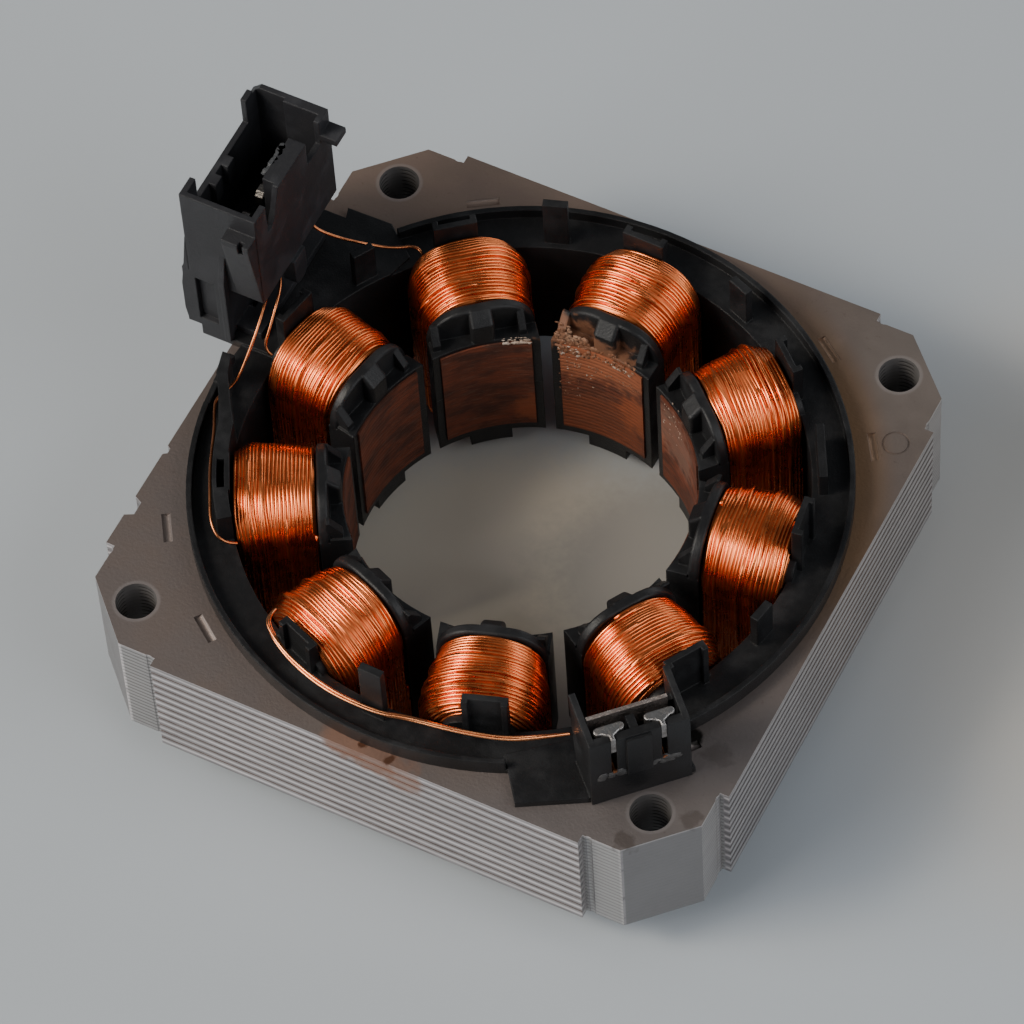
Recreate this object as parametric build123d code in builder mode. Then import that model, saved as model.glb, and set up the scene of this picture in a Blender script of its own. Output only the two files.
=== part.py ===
import os
from math import cos, radians, sin, tan

from build123d import *

os.makedirs("parts", exist_ok=True)

# Wound stator with nine poles, in millimetres. The axis of the bore is Z, and Z = 0 is the lower face of the stack.
# Angles are in degrees, counted from +X towards +Y.

# Lamination stack
sheet_thickness = 0.635
sheet_count = 24
stack_height = sheet_thickness * sheet_count
stack_middle = stack_height / 2
frame_half_width = 35.37
land_proud = 1.03
land_half_length = 24.86
corner_cut = 6.2
relief_radius = 0.7
relief_depth = 0.1
sheet_line_depth = 0.1
sheet_line_height = 0.25
sheets_per_line = 2
corner_hole_pitch = 60.0
corner_hole_radius = 2.2
land_half_width = frame_half_width + land_proud

# Notches in the left land, each as a centre on Y, a half length and a depth
edge_notches = ((-19.7, 1.3, 0.95), (-11.85, 0.8, 0.45))
notch_taper = 0.5

# Stamped interlocks in the upper sheet: short grooves with a round bottom
interlock_length = 3.6
interlock_width = 1.0
interlock_depth = 0.32
interlock_groove_radius = (interlock_width ** 2 / 4 + interlock_depth ** 2) / (2 * interlock_depth)
interlock_rings = ((37.55, 33.1), (37.0, 53.8))
interlocks_per_ring = 4
dimple_place = (33.4, 21.9)
dimple_radius = 1.5
dimple_line = 0.25
dimple_depth = 0.12

# Poles
slot_count = 9
slot_pitch = 360 / slot_count
first_tooth_angle = 128.7
bore_radius = 18.65
tip_half_angle = 15.4
tip_edge_thickness = 1.2
tip_root_reach = 21.2
tooth_width = 6.4
yoke_inner_radius = 31.3
tooth_angles = [first_tooth_angle - slot_pitch * number for number in range(slot_count)]

# Insulators, both ends
lining_wall = 0.6
sleeve_wall = 0.7
sleeve_half_width = tooth_width / 2 + sleeve_wall
saddle_rise = 2.3
saddle_corner = 2.2
ring_outer_radius = 35.3
ring_floor_rise = 0.7
ring_wall = 0.6
ring_rise = 2.0
ring_inner_radius = yoke_inner_radius - lining_wall
flange_setback = 0.2
flange_root_reach = 20.2
flange_face_reach = 21.4
flange_half_width = 5.9
flange_radius = bore_radius + flange_setback

# Upper flanges at the bore
arch_rise = 4.5
arch_corner = 4.4
strip_rise = 0.5
rib_half_width = 1.3
rib_rise = 4.5
rib_front_rise = 3.2
rib_fillet = 0.45
arch_edge = 0.35
ears = ((-4.7, -3.9), (4.7, 5.6))
ear_rise = 3.1
ear_front_rise = 1.3

# Lower flanges at the bore
skirt_rise = 2.0
skirt_corner = 0.6
skirt_lip_rise = 1.2
lobe_half_width = 2.3
lobe_rise = 4.3
lobe_lip_rise = 2.9
lobe_corner = 1.2

# Coils
coil_gap = 0.05
coil_outer_reach = 30.25
coil_corner = 5.5
turn_count = 16
turn_ridge = 0.12

# Outline of a coil, as the share of its length from the bore, its rise and its half width
coil_outline = ((0.0, 4.6, 5.75), (0.3, 5.05, 6.2), (0.78, 5.05, 6.65), (1.0, 4.2, 6.0))
coil_rise = max(rise for share, rise, half_width in coil_outline)
coil_inner_reach = flange_face_reach + coil_gap
coil_clear_radius = ring_inner_radius - coil_gap

# Posts behind the coils: a web with two legs, open outwards
post_web_reach = 30.45
post_wall = 0.65
post_half_width = 2.4
post_leg_reach = 31.6
post_rises = (6.2, 6.0, 6.2, 7.5, 7.2, 7.2, 5.3, 5.0, 6.5)
post_shifts = (0.5, 1.2, 0.5, 0.3, 0.9, 0.95, 0.4, -0.6, -0.7)

# Posts between the coils, each as the number of the coil before it, its rise, its side and its half width
gap_posts = ((1, 7.4, 0.5, 1.35), (2, 6.0, 0.0, 1.3), (3, 4.2, 0.0, 3.4), (4, 5.5, 0.0, 1.3),
             (6, 9.0, 0.0, 1.3), (9, 6.0, 0.0, 1.3))
gap_post_reach = (31.35, 32.25)

# Wall behind the coil on the left, and its tail, which carries a wire through a slit
wall_rise = 5.0
wall_radii = (ring_inner_radius, 32.3)
wall_angles = (-164.0, -141.6)
wall_recess_radii = (31.05, 31.85)
wall_recess_angles = (-155.2, -148.7)
wall_recess_depth = 3.0
tail_outline = ((34.9, -178.5), (33.9, -178.5), (33.2, -174.5), (31.9, -169.5), (30.7, -163.8),
                (32.3, -163.8), (33.2, -169.5), (34.4, -174.0))
tail_slit_angles = (-175.2, -170.6)
tail_slit_rises = (1.8, 3.9)

# Gaps in the rim, where the plug housing and the pocket stand
rim_gaps = ((139.0, 178.5), (-65.7, -34.0))

# Seat of the plug housing on the upper insulator
seat_rise = 1.0
seat_outline = ((-36.4, 3.2), (-29.0, 3.2), (-24.0, 21.0), (-27.8, 24.1), (-33.1, 24.0), (-32.7, 22.7), (-36.4, 22.7))

# Pocket for the two small terminals, in its own frame: X outwards, Y round the axis
pocket_angle = -44.9
pocket_base_rise = 0.85
pocket_base_outline = ((13.6, -30.6), (17.2, -35.4), (23.7, -31.7), (32.0, -23.6), (27.0, -19.5))
pocket_front = 39.6
pocket_half_width = 5.4
pocket_wall = 0.95
pocket_rise = 11.0
cheek_wall = 0.7
cheek_back = 33.0
cheek_tip_rise = 11.4
pocket_back = 35.3
pocket_back_wall = 0.8
pocket_back_rise = 9.8
pocket_floor_rise = 3.6
pocket_slot_width = 0.6
pocket_slot_floor = 5.0
pocket_slots = (-2.8, 2.6)
web_span = (-0.75, 0.2)
web_reach = (37.0, 38.7)
web_rise = 10.9
panel_span = (-1.5, 1.2)
panel_proud = 0.3
panel_floor = 4.3
panel_top = 10.6

# Small terminals, their link and the wire ends
terminal_bar_length = 3.3
terminal_bar_thickness = 0.9
terminal_bar_reach = 37.6
terminal_stem_thickness = 0.45
terminal_low = 8.9
terminal_high = 11.3
terminal_gap = 0.05
link_reach = pocket_back + pocket_back_wall
link_thickness = 0.45
link_low = 8.2
link_high = 11.3
link_span = (-4.6, 4.05)
pocket_wire_radius = 0.24
pocket_wire_rise = 5.28
pocket_wire_proud = 0.1

# Plug housing: low and high corners on X and Y, and rises over the stack
housing_x = (-40.9, -31.9)
housing_y = (3.7, 20.2)
housing_low = stack_height + 9.6
housing_top = stack_height + 24.0
housing_wall = 0.65
housing_floor = 1.0
left_wall_top = stack_height + 20.3
left_wall_y = (6.2, 17.4)
wing_cut = 1.1
right_gap_y = (15.1, 18.1)
right_gap_low = stack_height + 20.4
back_step = 0.45
back_step_x = -36.7
pad_y = (9.2, 15.1)
pad_wall = 2.0
side_slot_y = (6.1, 9.2)
side_slot_low = stack_height + 19.4
side_slot_shoulder = stack_height + 21.2
key_ribs_y = ((8.6, 10.0), (11.3, 12.7))
key_rib_proud = 0.8
key_rib_low = stack_height + 17.2
tab_reach = 1.95
tab_length = 2.1
tab_low = stack_height + 21.0
tab_high = stack_height + 21.9
boss_x = (-35.2, -32.0)
boss_proud = 1.7
boss_top = stack_height + 21.4
boss_lip = 0.8
boss_slot_x = (-33.3, -32.7)
boss_slot_depth = 1.6
leg_left = -41.8
leg_right = -land_half_width - 0.05
leg_low = stack_height - 0.8
leg_step_x = -40.25
leg_step_top = stack_height + 0.9
window_x = (-40.3, -38.0)
window_z = (stack_height + 2.1, stack_height + 9.4)
window_depth = 0.6
rib_x = (-36.95, -36.2)
rib_proud = 0.8
rib_z = (stack_height + 1.0, stack_height + 15.4)
fin_points = ((-40.95, 16.4), (-41.5, 11.5), (-42.05, 7.5), (-42.05, 3.0), (-41.75, 1.0), (-40.95, 1.0))
fin_thickness = 0.7
foot_right = -33.4
foot_thickness = 0.9
foot_y = (4.6, 19.3)
lug_x = (-33.0, -31.5)
lug_y = (9.7, 12.2)
lug_low = stack_height + 5.3
lug_corner = 1.1

# Plug contacts
contact_pitch = 3.96
contact_x = -36.2
contact_middle_y = 12.46
contacts_y = [contact_middle_y + contact_pitch * step for step in (-1, 0, 1)]
contact_width = 1.9
contact_thickness = 0.9
contact_low = stack_height + 8.4
contact_high = stack_height + 17.0
contact_tip = 0.5
contact_gap = 0.05

# Wires from the coils, as radius, angle and rise over the stack, or as X, Y and rise
wire_radius = 0.19
bundle_radius = 0.25
arc_share = 0.45


def polar(radius, angle):
    return (radius * cos(radians(angle)), radius * sin(radians(angle)))


def upright_plane(angle, reach):
    """A plane square to a radius, whose X runs round the axis and whose Y runs up."""
    side = (-sin(radians(angle)), cos(radians(angle)), 0)
    return Plane(origin=(*polar(reach, angle), 0), x_dir=side, z_dir=(*polar(1, angle), 0))


def level_plane(angle, height):
    """A level plane, whose X runs outwards at the angle."""
    return Plane(origin=(0, 0, height), x_dir=(*polar(1, angle), 0), z_dir=(0, 0, 1))


def block(low, high, mode=Mode.ADD):
    """A box between two corners."""
    size = [b - a for a, b in zip(low, high)]
    with Locations(low):
        Box(*size, align=(Align.MIN, Align.MIN, Align.MIN), mode=mode)


def prism(plane, points, height, mode=Mode.ADD):
    """A straight prism on a polygon."""
    with BuildSketch(plane) as profile:
        Polygon(*points, align=None)
    extrude(profile.sketch, amount=height, mode=mode)


def slab(angle, reach, side, low, high, mode=Mode.ADD):
    """A block between two reaches and two sides of a radius."""
    points = ((reach[0], side[0]), (reach[1], side[0]), (reach[1], side[1]), (reach[0], side[1]))
    prism(level_plane(angle, low), points, high - low, mode)


def sector(radii, angles, low, high, mode=Mode.ADD):
    """A piece of a ring between two angles."""
    far = 2 * radii[1]
    middle = sum(angles) / 2
    with BuildSketch(Plane.XY.offset(low)) as profile:
        Circle(radii[1])
        Circle(radii[0], mode=Mode.SUBTRACT)
        Polygon((0, 0), polar(far, angles[0]), polar(far, middle), polar(far, angles[1]),
                align=None, mode=Mode.INTERSECT)
    extrude(profile.sketch, amount=high - low, mode=mode)


def finish(part, name):
    """Label a piece and write it."""
    part.label = name
    export_step(part, f"parts/{name}.step")


# One sheet: a square with cut corners, four raised lands and nine poles
notch_points = []
for centre, half_length, depth in edge_notches:
    near = -land_half_width + depth
    notch_points.append(((-land_half_width - land_proud, centre + half_length + notch_taper),
                         (-land_half_width - land_proud, centre - half_length - notch_taper),
                         (near, centre - half_length + notch_taper),
                         (near, centre + half_length - notch_taper)))

relief_reach = frame_half_width + relief_radius - relief_depth
relief_side = land_half_length + relief_radius
tip_edge = polar(bore_radius + tip_edge_thickness, tip_half_angle)
pole_points = ((0, 0), (tip_edge[0], -tip_edge[1]), (tip_root_reach, -tooth_width / 2),
               (yoke_inner_radius + lining_wall, -tooth_width / 2),
               (yoke_inner_radius + lining_wall, tooth_width / 2),
               (tip_root_reach, tooth_width / 2), tip_edge)

with BuildSketch() as sheet:
    Rectangle(2 * frame_half_width, 2 * frame_half_width)
    chamfer(sheet.vertices(), length=corner_cut)
    with PolarLocations(frame_half_width, 4):
        Rectangle(2 * land_proud, 2 * land_half_length)
        with Locations((relief_reach - frame_half_width, relief_side), (relief_reach - frame_half_width, -relief_side)):
            Circle(relief_radius, mode=Mode.SUBTRACT)
    for points in notch_points:
        Polygon(*points, align=None, mode=Mode.SUBTRACT)
    with GridLocations(corner_hole_pitch, corner_hole_pitch, 2, 2):
        Circle(corner_hole_radius, mode=Mode.SUBTRACT)
    Circle(yoke_inner_radius, mode=Mode.SUBTRACT)
    with PolarLocations(0, slot_count, start_angle=first_tooth_angle):
        Polygon(*pole_points, align=None)
    Circle(bore_radius, mode=Mode.SUBTRACT)

groove_height = stack_height + interlock_groove_radius - interlock_depth
grooves = []
for radius, start in interlock_rings:
    with BuildPart() as groove:
        with Locations((radius, 0, groove_height)):
            Cylinder(interlock_groove_radius, interlock_length, rotation=(90, 0, 0))
    grooves.append((groove.part, start))

with BuildPart() as lamination_stack:
    add(sheet.sketch)
    extrude(amount=stack_height)
    # Lines between the sheets along the lands
    for number in range(1, sheet_count // sheets_per_line):
        line_height = number * sheets_per_line * sheet_thickness - sheet_line_height / 2
        with BuildSketch(Plane.XY.offset(line_height)):
            with PolarLocations(land_half_width, 4):
                Rectangle(2 * sheet_line_depth, 2 * land_half_length + 1)
        extrude(amount=sheet_line_height, mode=Mode.SUBTRACT)
    # Interlocks and the round mark in the upper sheet
    for groove, start in grooves:
        with PolarLocations(0, interlocks_per_ring, start_angle=start):
            add(groove, mode=Mode.SUBTRACT)
    with BuildSketch(Plane.XY.offset(stack_height)):
        with Locations(dimple_place):
            Circle(dimple_radius)
            Circle(dimple_radius - dimple_line, mode=Mode.SUBTRACT)
    extrude(amount=-dimple_depth, mode=Mode.SUBTRACT)
finish(lamination_stack.part, "lamination_stack")


# One half of the slot lining, with the ring's floor and the saddles over the teeth
bobbin_points = ((bore_radius - 2, -flange_half_width), (flange_face_reach, -flange_half_width),
                 (flange_face_reach, -sleeve_half_width), (yoke_inner_radius, -sleeve_half_width),
                 (yoke_inner_radius, sleeve_half_width), (flange_face_reach, sleeve_half_width),
                 (flange_face_reach, flange_half_width), (bore_radius - 2, flange_half_width))

with BuildSketch() as lining:
    Circle(yoke_inner_radius)
    Circle(ring_inner_radius, mode=Mode.SUBTRACT)
    with PolarLocations(0, slot_count, start_angle=first_tooth_angle):
        Polygon(*bobbin_points, align=None)
    Circle(flange_radius, mode=Mode.SUBTRACT)
    add(sheet.sketch, mode=Mode.SUBTRACT)

with BuildPart() as saddle:
    with BuildSketch(upright_plane(0, flange_face_reach)) as saddle_section:
        with Locations((0, stack_height + saddle_rise / 2)):
            Rectangle(2 * sleeve_half_width, saddle_rise)
        fillet(saddle_section.vertices().group_by(Axis.Y)[-1], radius=saddle_corner)
    extrude(amount=ring_inner_radius + lining_wall / 2 - flange_face_reach)

with BuildPart() as end_frame:
    with BuildSketch(Plane.XY.offset(stack_middle)):
        add(lining.sketch)
    extrude(amount=stack_height - stack_middle)
    with BuildSketch(Plane.XY.offset(stack_height)):
        Circle(ring_outer_radius)
        Circle(ring_inner_radius, mode=Mode.SUBTRACT)
    extrude(amount=ring_floor_rise)
    with PolarLocations(0, slot_count, start_angle=first_tooth_angle):
        add(saddle.part)


def bore_block(side, low, high):
    """A block on the bore side of a flange, at angle 0, with its face on the flange's radius."""
    points = ((bore_radius - 2, side[0]), (flange_root_reach, side[0]),
              (flange_root_reach, side[1]), (bore_radius - 2, side[1]))
    with BuildSketch(Plane.XY.offset(low)) as profile:
        Polygon(*points, align=None)
        Circle(flange_radius, mode=Mode.SUBTRACT)
    extrude(profile.sketch, amount=high - low)


def bore_fin(side, front_rise, back_rise):
    """A fin between the bore and a flange, at angle 0, whose top slopes down to the bore."""
    points = ((flange_radius, stack_height), (flange_root_reach + arch_edge, stack_height),
              (flange_root_reach + arch_edge, stack_height + back_rise), (flange_root_reach, stack_height + back_rise),
              (flange_radius, stack_height + front_rise))
    prism(Plane(origin=(0, side[1], 0), x_dir=(1, 0, 0), z_dir=(0, -1, 0)), points, side[1] - side[0])


with BuildPart() as rib:
    bore_fin((-rib_half_width, rib_half_width), rib_front_rise, rib_rise)
    rib_edges = rib.edges().group_by(Axis.Y)
    fillet([edge for edge in rib_edges[0] + rib_edges[-1] if edge.center().Z > stack_height + strip_rise
            and edge.center().X < flange_root_reach + arch_edge], radius=rib_fillet)

with BuildPart() as upper_flange:
    with BuildSketch(upright_plane(0, flange_root_reach)) as arch:
        with Locations((0, stack_height + arch_rise / 2)):
            Rectangle(2 * flange_half_width, arch_rise)
        fillet(arch.vertices().group_by(Axis.Y)[-1], radius=arch_corner)
    extrude(amount=flange_face_reach - flange_root_reach)
    arch_faces = upper_flange.faces().sort_by(Axis.X)
    fillet([edge for face in (arch_faces[0], arch_faces[-1]) for edge in face.edges()
            if edge.center().Z > stack_height + arch_edge], radius=arch_edge)
    bore_block((-flange_half_width, flange_half_width), stack_height, stack_height + strip_rise)
    add(rib.part)
    for ear in ears:
        bore_fin(ear, ear_front_rise, ear_rise)
    with BuildSketch(Plane.XY.offset(stack_height)):
        Circle(flange_radius)
    extrude(amount=rib_rise + arch_edge, mode=Mode.SUBTRACT)

with BuildPart() as lower_flange:
    with BuildSketch(upright_plane(0, flange_root_reach)) as skirt:
        with Locations((0, -skirt_rise / 2)):
            Rectangle(2 * flange_half_width, skirt_rise)
        fillet(skirt.vertices().group_by(Axis.Y)[0], radius=skirt_corner)
    extrude(amount=flange_face_reach - flange_root_reach)
    with BuildSketch(upright_plane(0, flange_root_reach)) as lobe:
        with Locations((0, -lobe_rise / 2)):
            Rectangle(2 * lobe_half_width, lobe_rise)
        fillet(lobe.vertices().group_by(Axis.Y)[0], radius=lobe_corner)
    extrude(amount=flange_face_reach - flange_root_reach)
    bore_block((-flange_half_width, flange_half_width), -skirt_lip_rise, 0)
    bore_block((-lobe_half_width, lobe_half_width), -lobe_lip_rise, 0)


# Upper insulator
seat_top = stack_height + seat_rise
pocket_base_top = stack_height + pocket_base_rise

with BuildPart() as upper_insulator:
    add(end_frame.part)
    with PolarLocations(0, slot_count, start_angle=first_tooth_angle):
        add(upper_flange.part)
    # Rim, left out where the plug housing and the pocket stand
    with BuildSketch(Plane.XY.offset(stack_height)) as rim:
        Circle(ring_outer_radius)
        Circle(ring_outer_radius - ring_wall, mode=Mode.SUBTRACT)
        for start, end in rim_gaps:
            far = 2 * ring_outer_radius
            Polygon((0, 0), polar(far, start), polar(far, (start + end) / 2), polar(far, end),
                    align=None, mode=Mode.SUBTRACT)
    extrude(amount=ring_rise)
    # Seat of the plug housing and base of the pocket
    for outline, rise in ((seat_outline, seat_rise), (pocket_base_outline, pocket_base_rise)):
        with BuildSketch(Plane.XY.offset(stack_height)):
            Polygon(*outline, align=None)
            Circle(ring_inner_radius, mode=Mode.SUBTRACT)
        extrude(amount=rise)
    # Posts behind the coils
    for angle, rise, shift in zip(tooth_angles, post_rises, post_shifts):
        top = stack_height + rise
        wide = (shift - post_half_width, shift + post_half_width)
        slab(angle, (post_web_reach, post_web_reach + post_wall), wide, stack_height, top)
        for low_side in (wide[0], wide[1] - post_wall):
            slab(angle, (post_web_reach, post_leg_reach), (low_side, low_side + post_wall), stack_height, top)
    # Posts between the coils
    for coil_number, rise, shift, half_width in gap_posts:
        angle = tooth_angles[coil_number - 1] - slot_pitch / 2
        slab(angle, gap_post_reach, (shift - half_width, shift + half_width), stack_height, stack_height + rise)
    # Wall behind the coil on the left, with its recess and its slit tail
    wall_top = stack_height + wall_rise
    sector(wall_radii, wall_angles, stack_height, wall_top)
    sector(wall_recess_radii, wall_recess_angles, wall_top - wall_recess_depth, wall_top + 1, Mode.SUBTRACT)
    prism(Plane.XY.offset(stack_height), [polar(*corner) for corner in tail_outline], wall_rise)
    sector((ring_inner_radius, ring_outer_radius), tail_slit_angles, stack_height + tail_slit_rises[0],
           stack_height + tail_slit_rises[1], Mode.SUBTRACT)
    # Pocket: front wall with two slots, back wall, floor, and a panel and a web between the slots
    front_span = (pocket_front - pocket_wall, pocket_front)
    pocket_span = (-pocket_half_width, pocket_half_width)
    pocket_top = stack_height + pocket_rise
    slab(pocket_angle, front_span, pocket_span, stack_height, pocket_top)
    slab(pocket_angle, (pocket_back, pocket_back + pocket_back_wall), pocket_span, stack_height,
         stack_height + pocket_back_rise)
    slab(pocket_angle, (pocket_back, pocket_front), pocket_span, stack_height, stack_height + pocket_floor_rise)
    slab(pocket_angle, (pocket_front, pocket_front + panel_proud), panel_span, stack_height + panel_floor,
         stack_height + panel_top)
    slab(pocket_angle, web_reach, web_span, stack_height + pocket_floor_rise, stack_height + web_rise)
    cheek_points = ((cheek_back + 1.6, stack_height), (pocket_front, stack_height), (pocket_front, pocket_top),
                    (cheek_back, stack_height + cheek_tip_rise), (cheek_back + 0.5, stack_height + 6.0))
    for side in (-1, 1):
        outward = polar(1, pocket_angle)
        across = polar(side * (pocket_half_width - cheek_wall), pocket_angle + 90)
        cheek = Plane(origin=(*across, 0), x_dir=(*outward, 0), z_dir=(*polar(1, pocket_angle - 90), 0))
        prism(cheek, cheek_points, -side * cheek_wall)
    for slot_side in pocket_slots:
        slot_span = (slot_side - pocket_slot_width / 2, slot_side + pocket_slot_width / 2)
        slab(pocket_angle, (pocket_front - pocket_wall - 1, pocket_front + 1), slot_span,
             stack_height + pocket_slot_floor, pocket_top + 1, Mode.SUBTRACT)
finish(upper_insulator.part, "upper_insulator")


# Lower insulator
with BuildPart() as lower_insulator:
    mirror(end_frame.part, about=Plane.XY.offset(stack_middle))
    with PolarLocations(0, slot_count, start_angle=first_tooth_angle):
        add(lower_flange.part)
    with BuildSketch():
        Circle(ring_outer_radius)
        Circle(ring_outer_radius - ring_wall, mode=Mode.SUBTRACT)
    extrude(amount=-ring_rise)
finish(lower_insulator.part, "lower_insulator")


# Coils: a rounded ring round each tooth, whose outside rises and falls with the turns
coil_length = coil_outer_reach - coil_inner_reach
turn_step = coil_length / (2 * turn_count)


def outline_at(share):
    """The rise and the half width of a coil at a share of its length."""
    for before, after in zip(coil_outline, coil_outline[1:]):
        if share <= after[0]:
            part = (share - before[0]) / (after[0] - before[0])
            return [low + (high - low) * part for low, high in zip(before[1:], after[1:])]
    return list(coil_outline[-1][1:])


with BuildPart() as coil:
    for number in range(2 * turn_count + 1):
        reach = coil_inner_reach + number * turn_step
        ridge = turn_ridge if number % 2 else 0
        rise, half_width = outline_at(number / (2 * turn_count))
        half_height = stack_middle + rise + ridge - turn_ridge
        with BuildSketch(upright_plane(0, reach)):
            with Locations((0, stack_middle)):
                RectangleRounded(2 * (half_width + ridge), 2 * half_height, coil_corner)
    loft(ruled=True)
    with BuildSketch(upright_plane(0, coil_inner_reach - 1)):
        with Locations((0, stack_middle)):
            RectangleRounded(2 * (sleeve_half_width + coil_gap), 2 * (stack_middle + saddle_rise + coil_gap),
                             saddle_corner - coil_gap)
    extrude(amount=coil_length + 2, mode=Mode.SUBTRACT)
    # The outer corners keep clear of the ring
    with BuildSketch(Plane.XY.offset(-coil_rise - 1)):
        Circle(coil_clear_radius)
    extrude(amount=stack_height + 2 * coil_rise + 2, mode=Mode.INTERSECT)

for number, angle in enumerate(tooth_angles, start=1):
    turned = coil.part.rotate(Axis.Z, angle)
    finish(turned, f"coil_{number}")


# Plug housing
inner_x = (housing_x[0] + housing_wall, housing_x[1] - housing_wall)
inner_y = (housing_y[0] + housing_wall, housing_y[1] - housing_wall)
cavity_low = housing_low + housing_floor
front_face = Plane(origin=(0, housing_y[0], 0), x_dir=(1, 0, 0), z_dir=(0, -1, 0))
side_face = Plane(origin=(housing_x[1] + 1, 0, 0), x_dir=(0, 1, 0), z_dir=(1, 0, 0))

with BuildPart() as connector_housing:
    block((housing_x[0], housing_y[0], housing_low), (housing_x[1], housing_y[1], housing_top))
    block((leg_left, housing_y[0], leg_low), (leg_right, housing_y[1], cavity_low))
    # Socket, with a thick pad along the right wall and a step across the back wall
    block((inner_x[0], inner_y[0], cavity_low), (inner_x[1], inner_y[1], housing_top + 1), Mode.SUBTRACT)
    block((housing_x[1] - pad_wall, pad_y[0], cavity_low), (housing_x[1], pad_y[1], housing_top))
    block((back_step_x, inner_y[1] - back_step, cavity_low), (inner_x[1], inner_y[1], housing_top))
    # Left wall, lower between its two ends, with keys inside
    block((housing_x[0] - 1, left_wall_y[0], left_wall_top), (inner_x[0] + 0.01, left_wall_y[1], housing_top + 1),
          Mode.SUBTRACT)
    for low_y, high_y in key_ribs_y:
        block((inner_x[0], low_y, key_rib_low), (inner_x[0] + key_rib_proud, high_y, left_wall_top))
    prism(Plane(origin=(0, housing_y[1] + 1, 0), x_dir=(1, 0, 0), z_dir=(0, -1, 0)),
          ((housing_x[0] - 1, housing_top - wing_cut - 1), (housing_x[0] + wing_cut + 1, housing_top + 1),
           (housing_x[0] - 1, housing_top + 1)), 2 * housing_wall + 1, Mode.SUBTRACT)
    # Right wall, lower behind the pad, with a slot near the front
    block((inner_x[1] - 0.01, right_gap_y[0], right_gap_low), (housing_x[1] + 1, right_gap_y[1], housing_top + 1),
          Mode.SUBTRACT)
    prism(side_face, ((side_slot_y[0], side_slot_low), (side_slot_y[0] + 0.9, side_slot_low),
                      (side_slot_y[1] - 1.2, side_slot_shoulder), (side_slot_y[1], housing_top + 1),
                      (side_slot_y[0], housing_top + 1)), -housing_wall - 1.5, Mode.SUBTRACT)
    # Tab at the back, lug under the floor
    block((housing_x[1], housing_y[1] - tab_length, tab_low), (housing_x[1] + tab_reach, housing_y[1], tab_high))
    block((lug_x[0], lug_y[0], lug_low), (lug_x[1], lug_y[1], housing_low))
    lug_edges = connector_housing.edges().filter_by(Axis.X).filter_by_position(Axis.Z, lug_low, lug_low)
    fillet(lug_edges, radius=lug_corner)
    # Latch boss on the front
    boss_side = Plane(origin=(boss_x[0], 0, 0), x_dir=(0, 1, 0), z_dir=(1, 0, 0))
    prism(boss_side, ((housing_y[0], housing_low), (housing_y[0], boss_top), (housing_y[0] - boss_proud, boss_top),
                      (housing_y[0] - boss_proud, boss_top - boss_lip)), boss_x[1] - boss_x[0])
    block((boss_slot_x[0], housing_y[0] - boss_proud - 1, boss_top - boss_slot_depth),
          (boss_slot_x[1], housing_y[0] - boss_proud + 0.6, boss_top + 1), Mode.SUBTRACT)
    # Leg outside the stack: hollow from below, stepped foot, window, rib and fin on the front
    block((leg_left + housing_wall, inner_y[0], leg_low - 1), (leg_right - housing_wall, inner_y[1], housing_low),
          Mode.SUBTRACT)
    block((leg_left - 1, housing_y[0] - 1, leg_low - 1), (leg_step_x, housing_y[1] + 1, leg_step_top), Mode.SUBTRACT)
    block((window_x[0], housing_y[0] - 1, window_z[0]), (window_x[1], housing_y[0] + window_depth, window_z[1]),
          Mode.SUBTRACT)
    rib_side = Plane(origin=(rib_x[0], 0, 0), x_dir=(0, 1, 0), z_dir=(1, 0, 0))
    prism(rib_side, ((housing_y[0], rib_z[0]), (housing_y[0], rib_z[1]), (housing_y[0] - rib_proud, rib_z[1] - 4),
                     (housing_y[0] - rib_proud, rib_z[0])), rib_x[1] - rib_x[0])
    prism(front_face, [(x, stack_height + rise) for x, rise in fin_points], -fin_thickness)
    # Foot on the seat
    block((leg_right - 0.1, foot_y[0], seat_top), (foot_right, foot_y[1], seat_top + foot_thickness))
    # Holes for the contacts
    for contact_y in contacts_y:
        half_x = contact_thickness / 2 + contact_gap
        half_y = contact_width / 2 + contact_gap
        block((contact_x - half_x, contact_y - half_y, leg_low), (contact_x + half_x, contact_y + half_y, cavity_low + 1),
              Mode.SUBTRACT)
finish(connector_housing.part, "connector_housing")


# Plug contacts: flat blades with a cut tip
for number, contact_y in enumerate(contacts_y, start=1):
    half = contact_width / 2
    blade = Plane(origin=(contact_x - contact_thickness / 2, contact_y, 0), x_dir=(0, 1, 0), z_dir=(1, 0, 0))
    with BuildPart() as contact:
        prism(blade, ((-half, contact_low), (half, contact_low), (half, contact_high - contact_tip),
                      (half - contact_tip, contact_high), (contact_tip - half, contact_high),
                      (-half, contact_high - contact_tip)), contact_thickness)
    finish(contact.part, f"phase_terminal_{number}")


# Small terminals, their link and the wire ends in the pocket
for number, slot_side in enumerate(pocket_slots, start=1):
    low = stack_height + terminal_low
    high = stack_height + terminal_high
    half_bar = terminal_bar_length / 2
    half_stem = terminal_stem_thickness / 2
    with BuildPart() as terminal:
        slab(pocket_angle, (terminal_bar_reach, terminal_bar_reach + terminal_bar_thickness),
             (slot_side - half_bar, slot_side + half_bar), low, high)
        slab(pocket_angle, (terminal_bar_reach + terminal_bar_thickness, pocket_front),
             (slot_side - half_stem, slot_side + half_stem), low, high)
    finish(terminal.part, f"pocket_terminal_{number}")
    with BuildPart() as wire_end:
        with BuildSketch(upright_plane(pocket_angle, pocket_back + pocket_back_wall)):
            with Locations((slot_side, stack_height + pocket_wire_rise)):
                Circle(pocket_wire_radius)
        extrude(amount=pocket_front + pocket_wire_proud - pocket_back - pocket_back_wall)
    finish(wire_end.part, f"pocket_wire_{number}")

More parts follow.
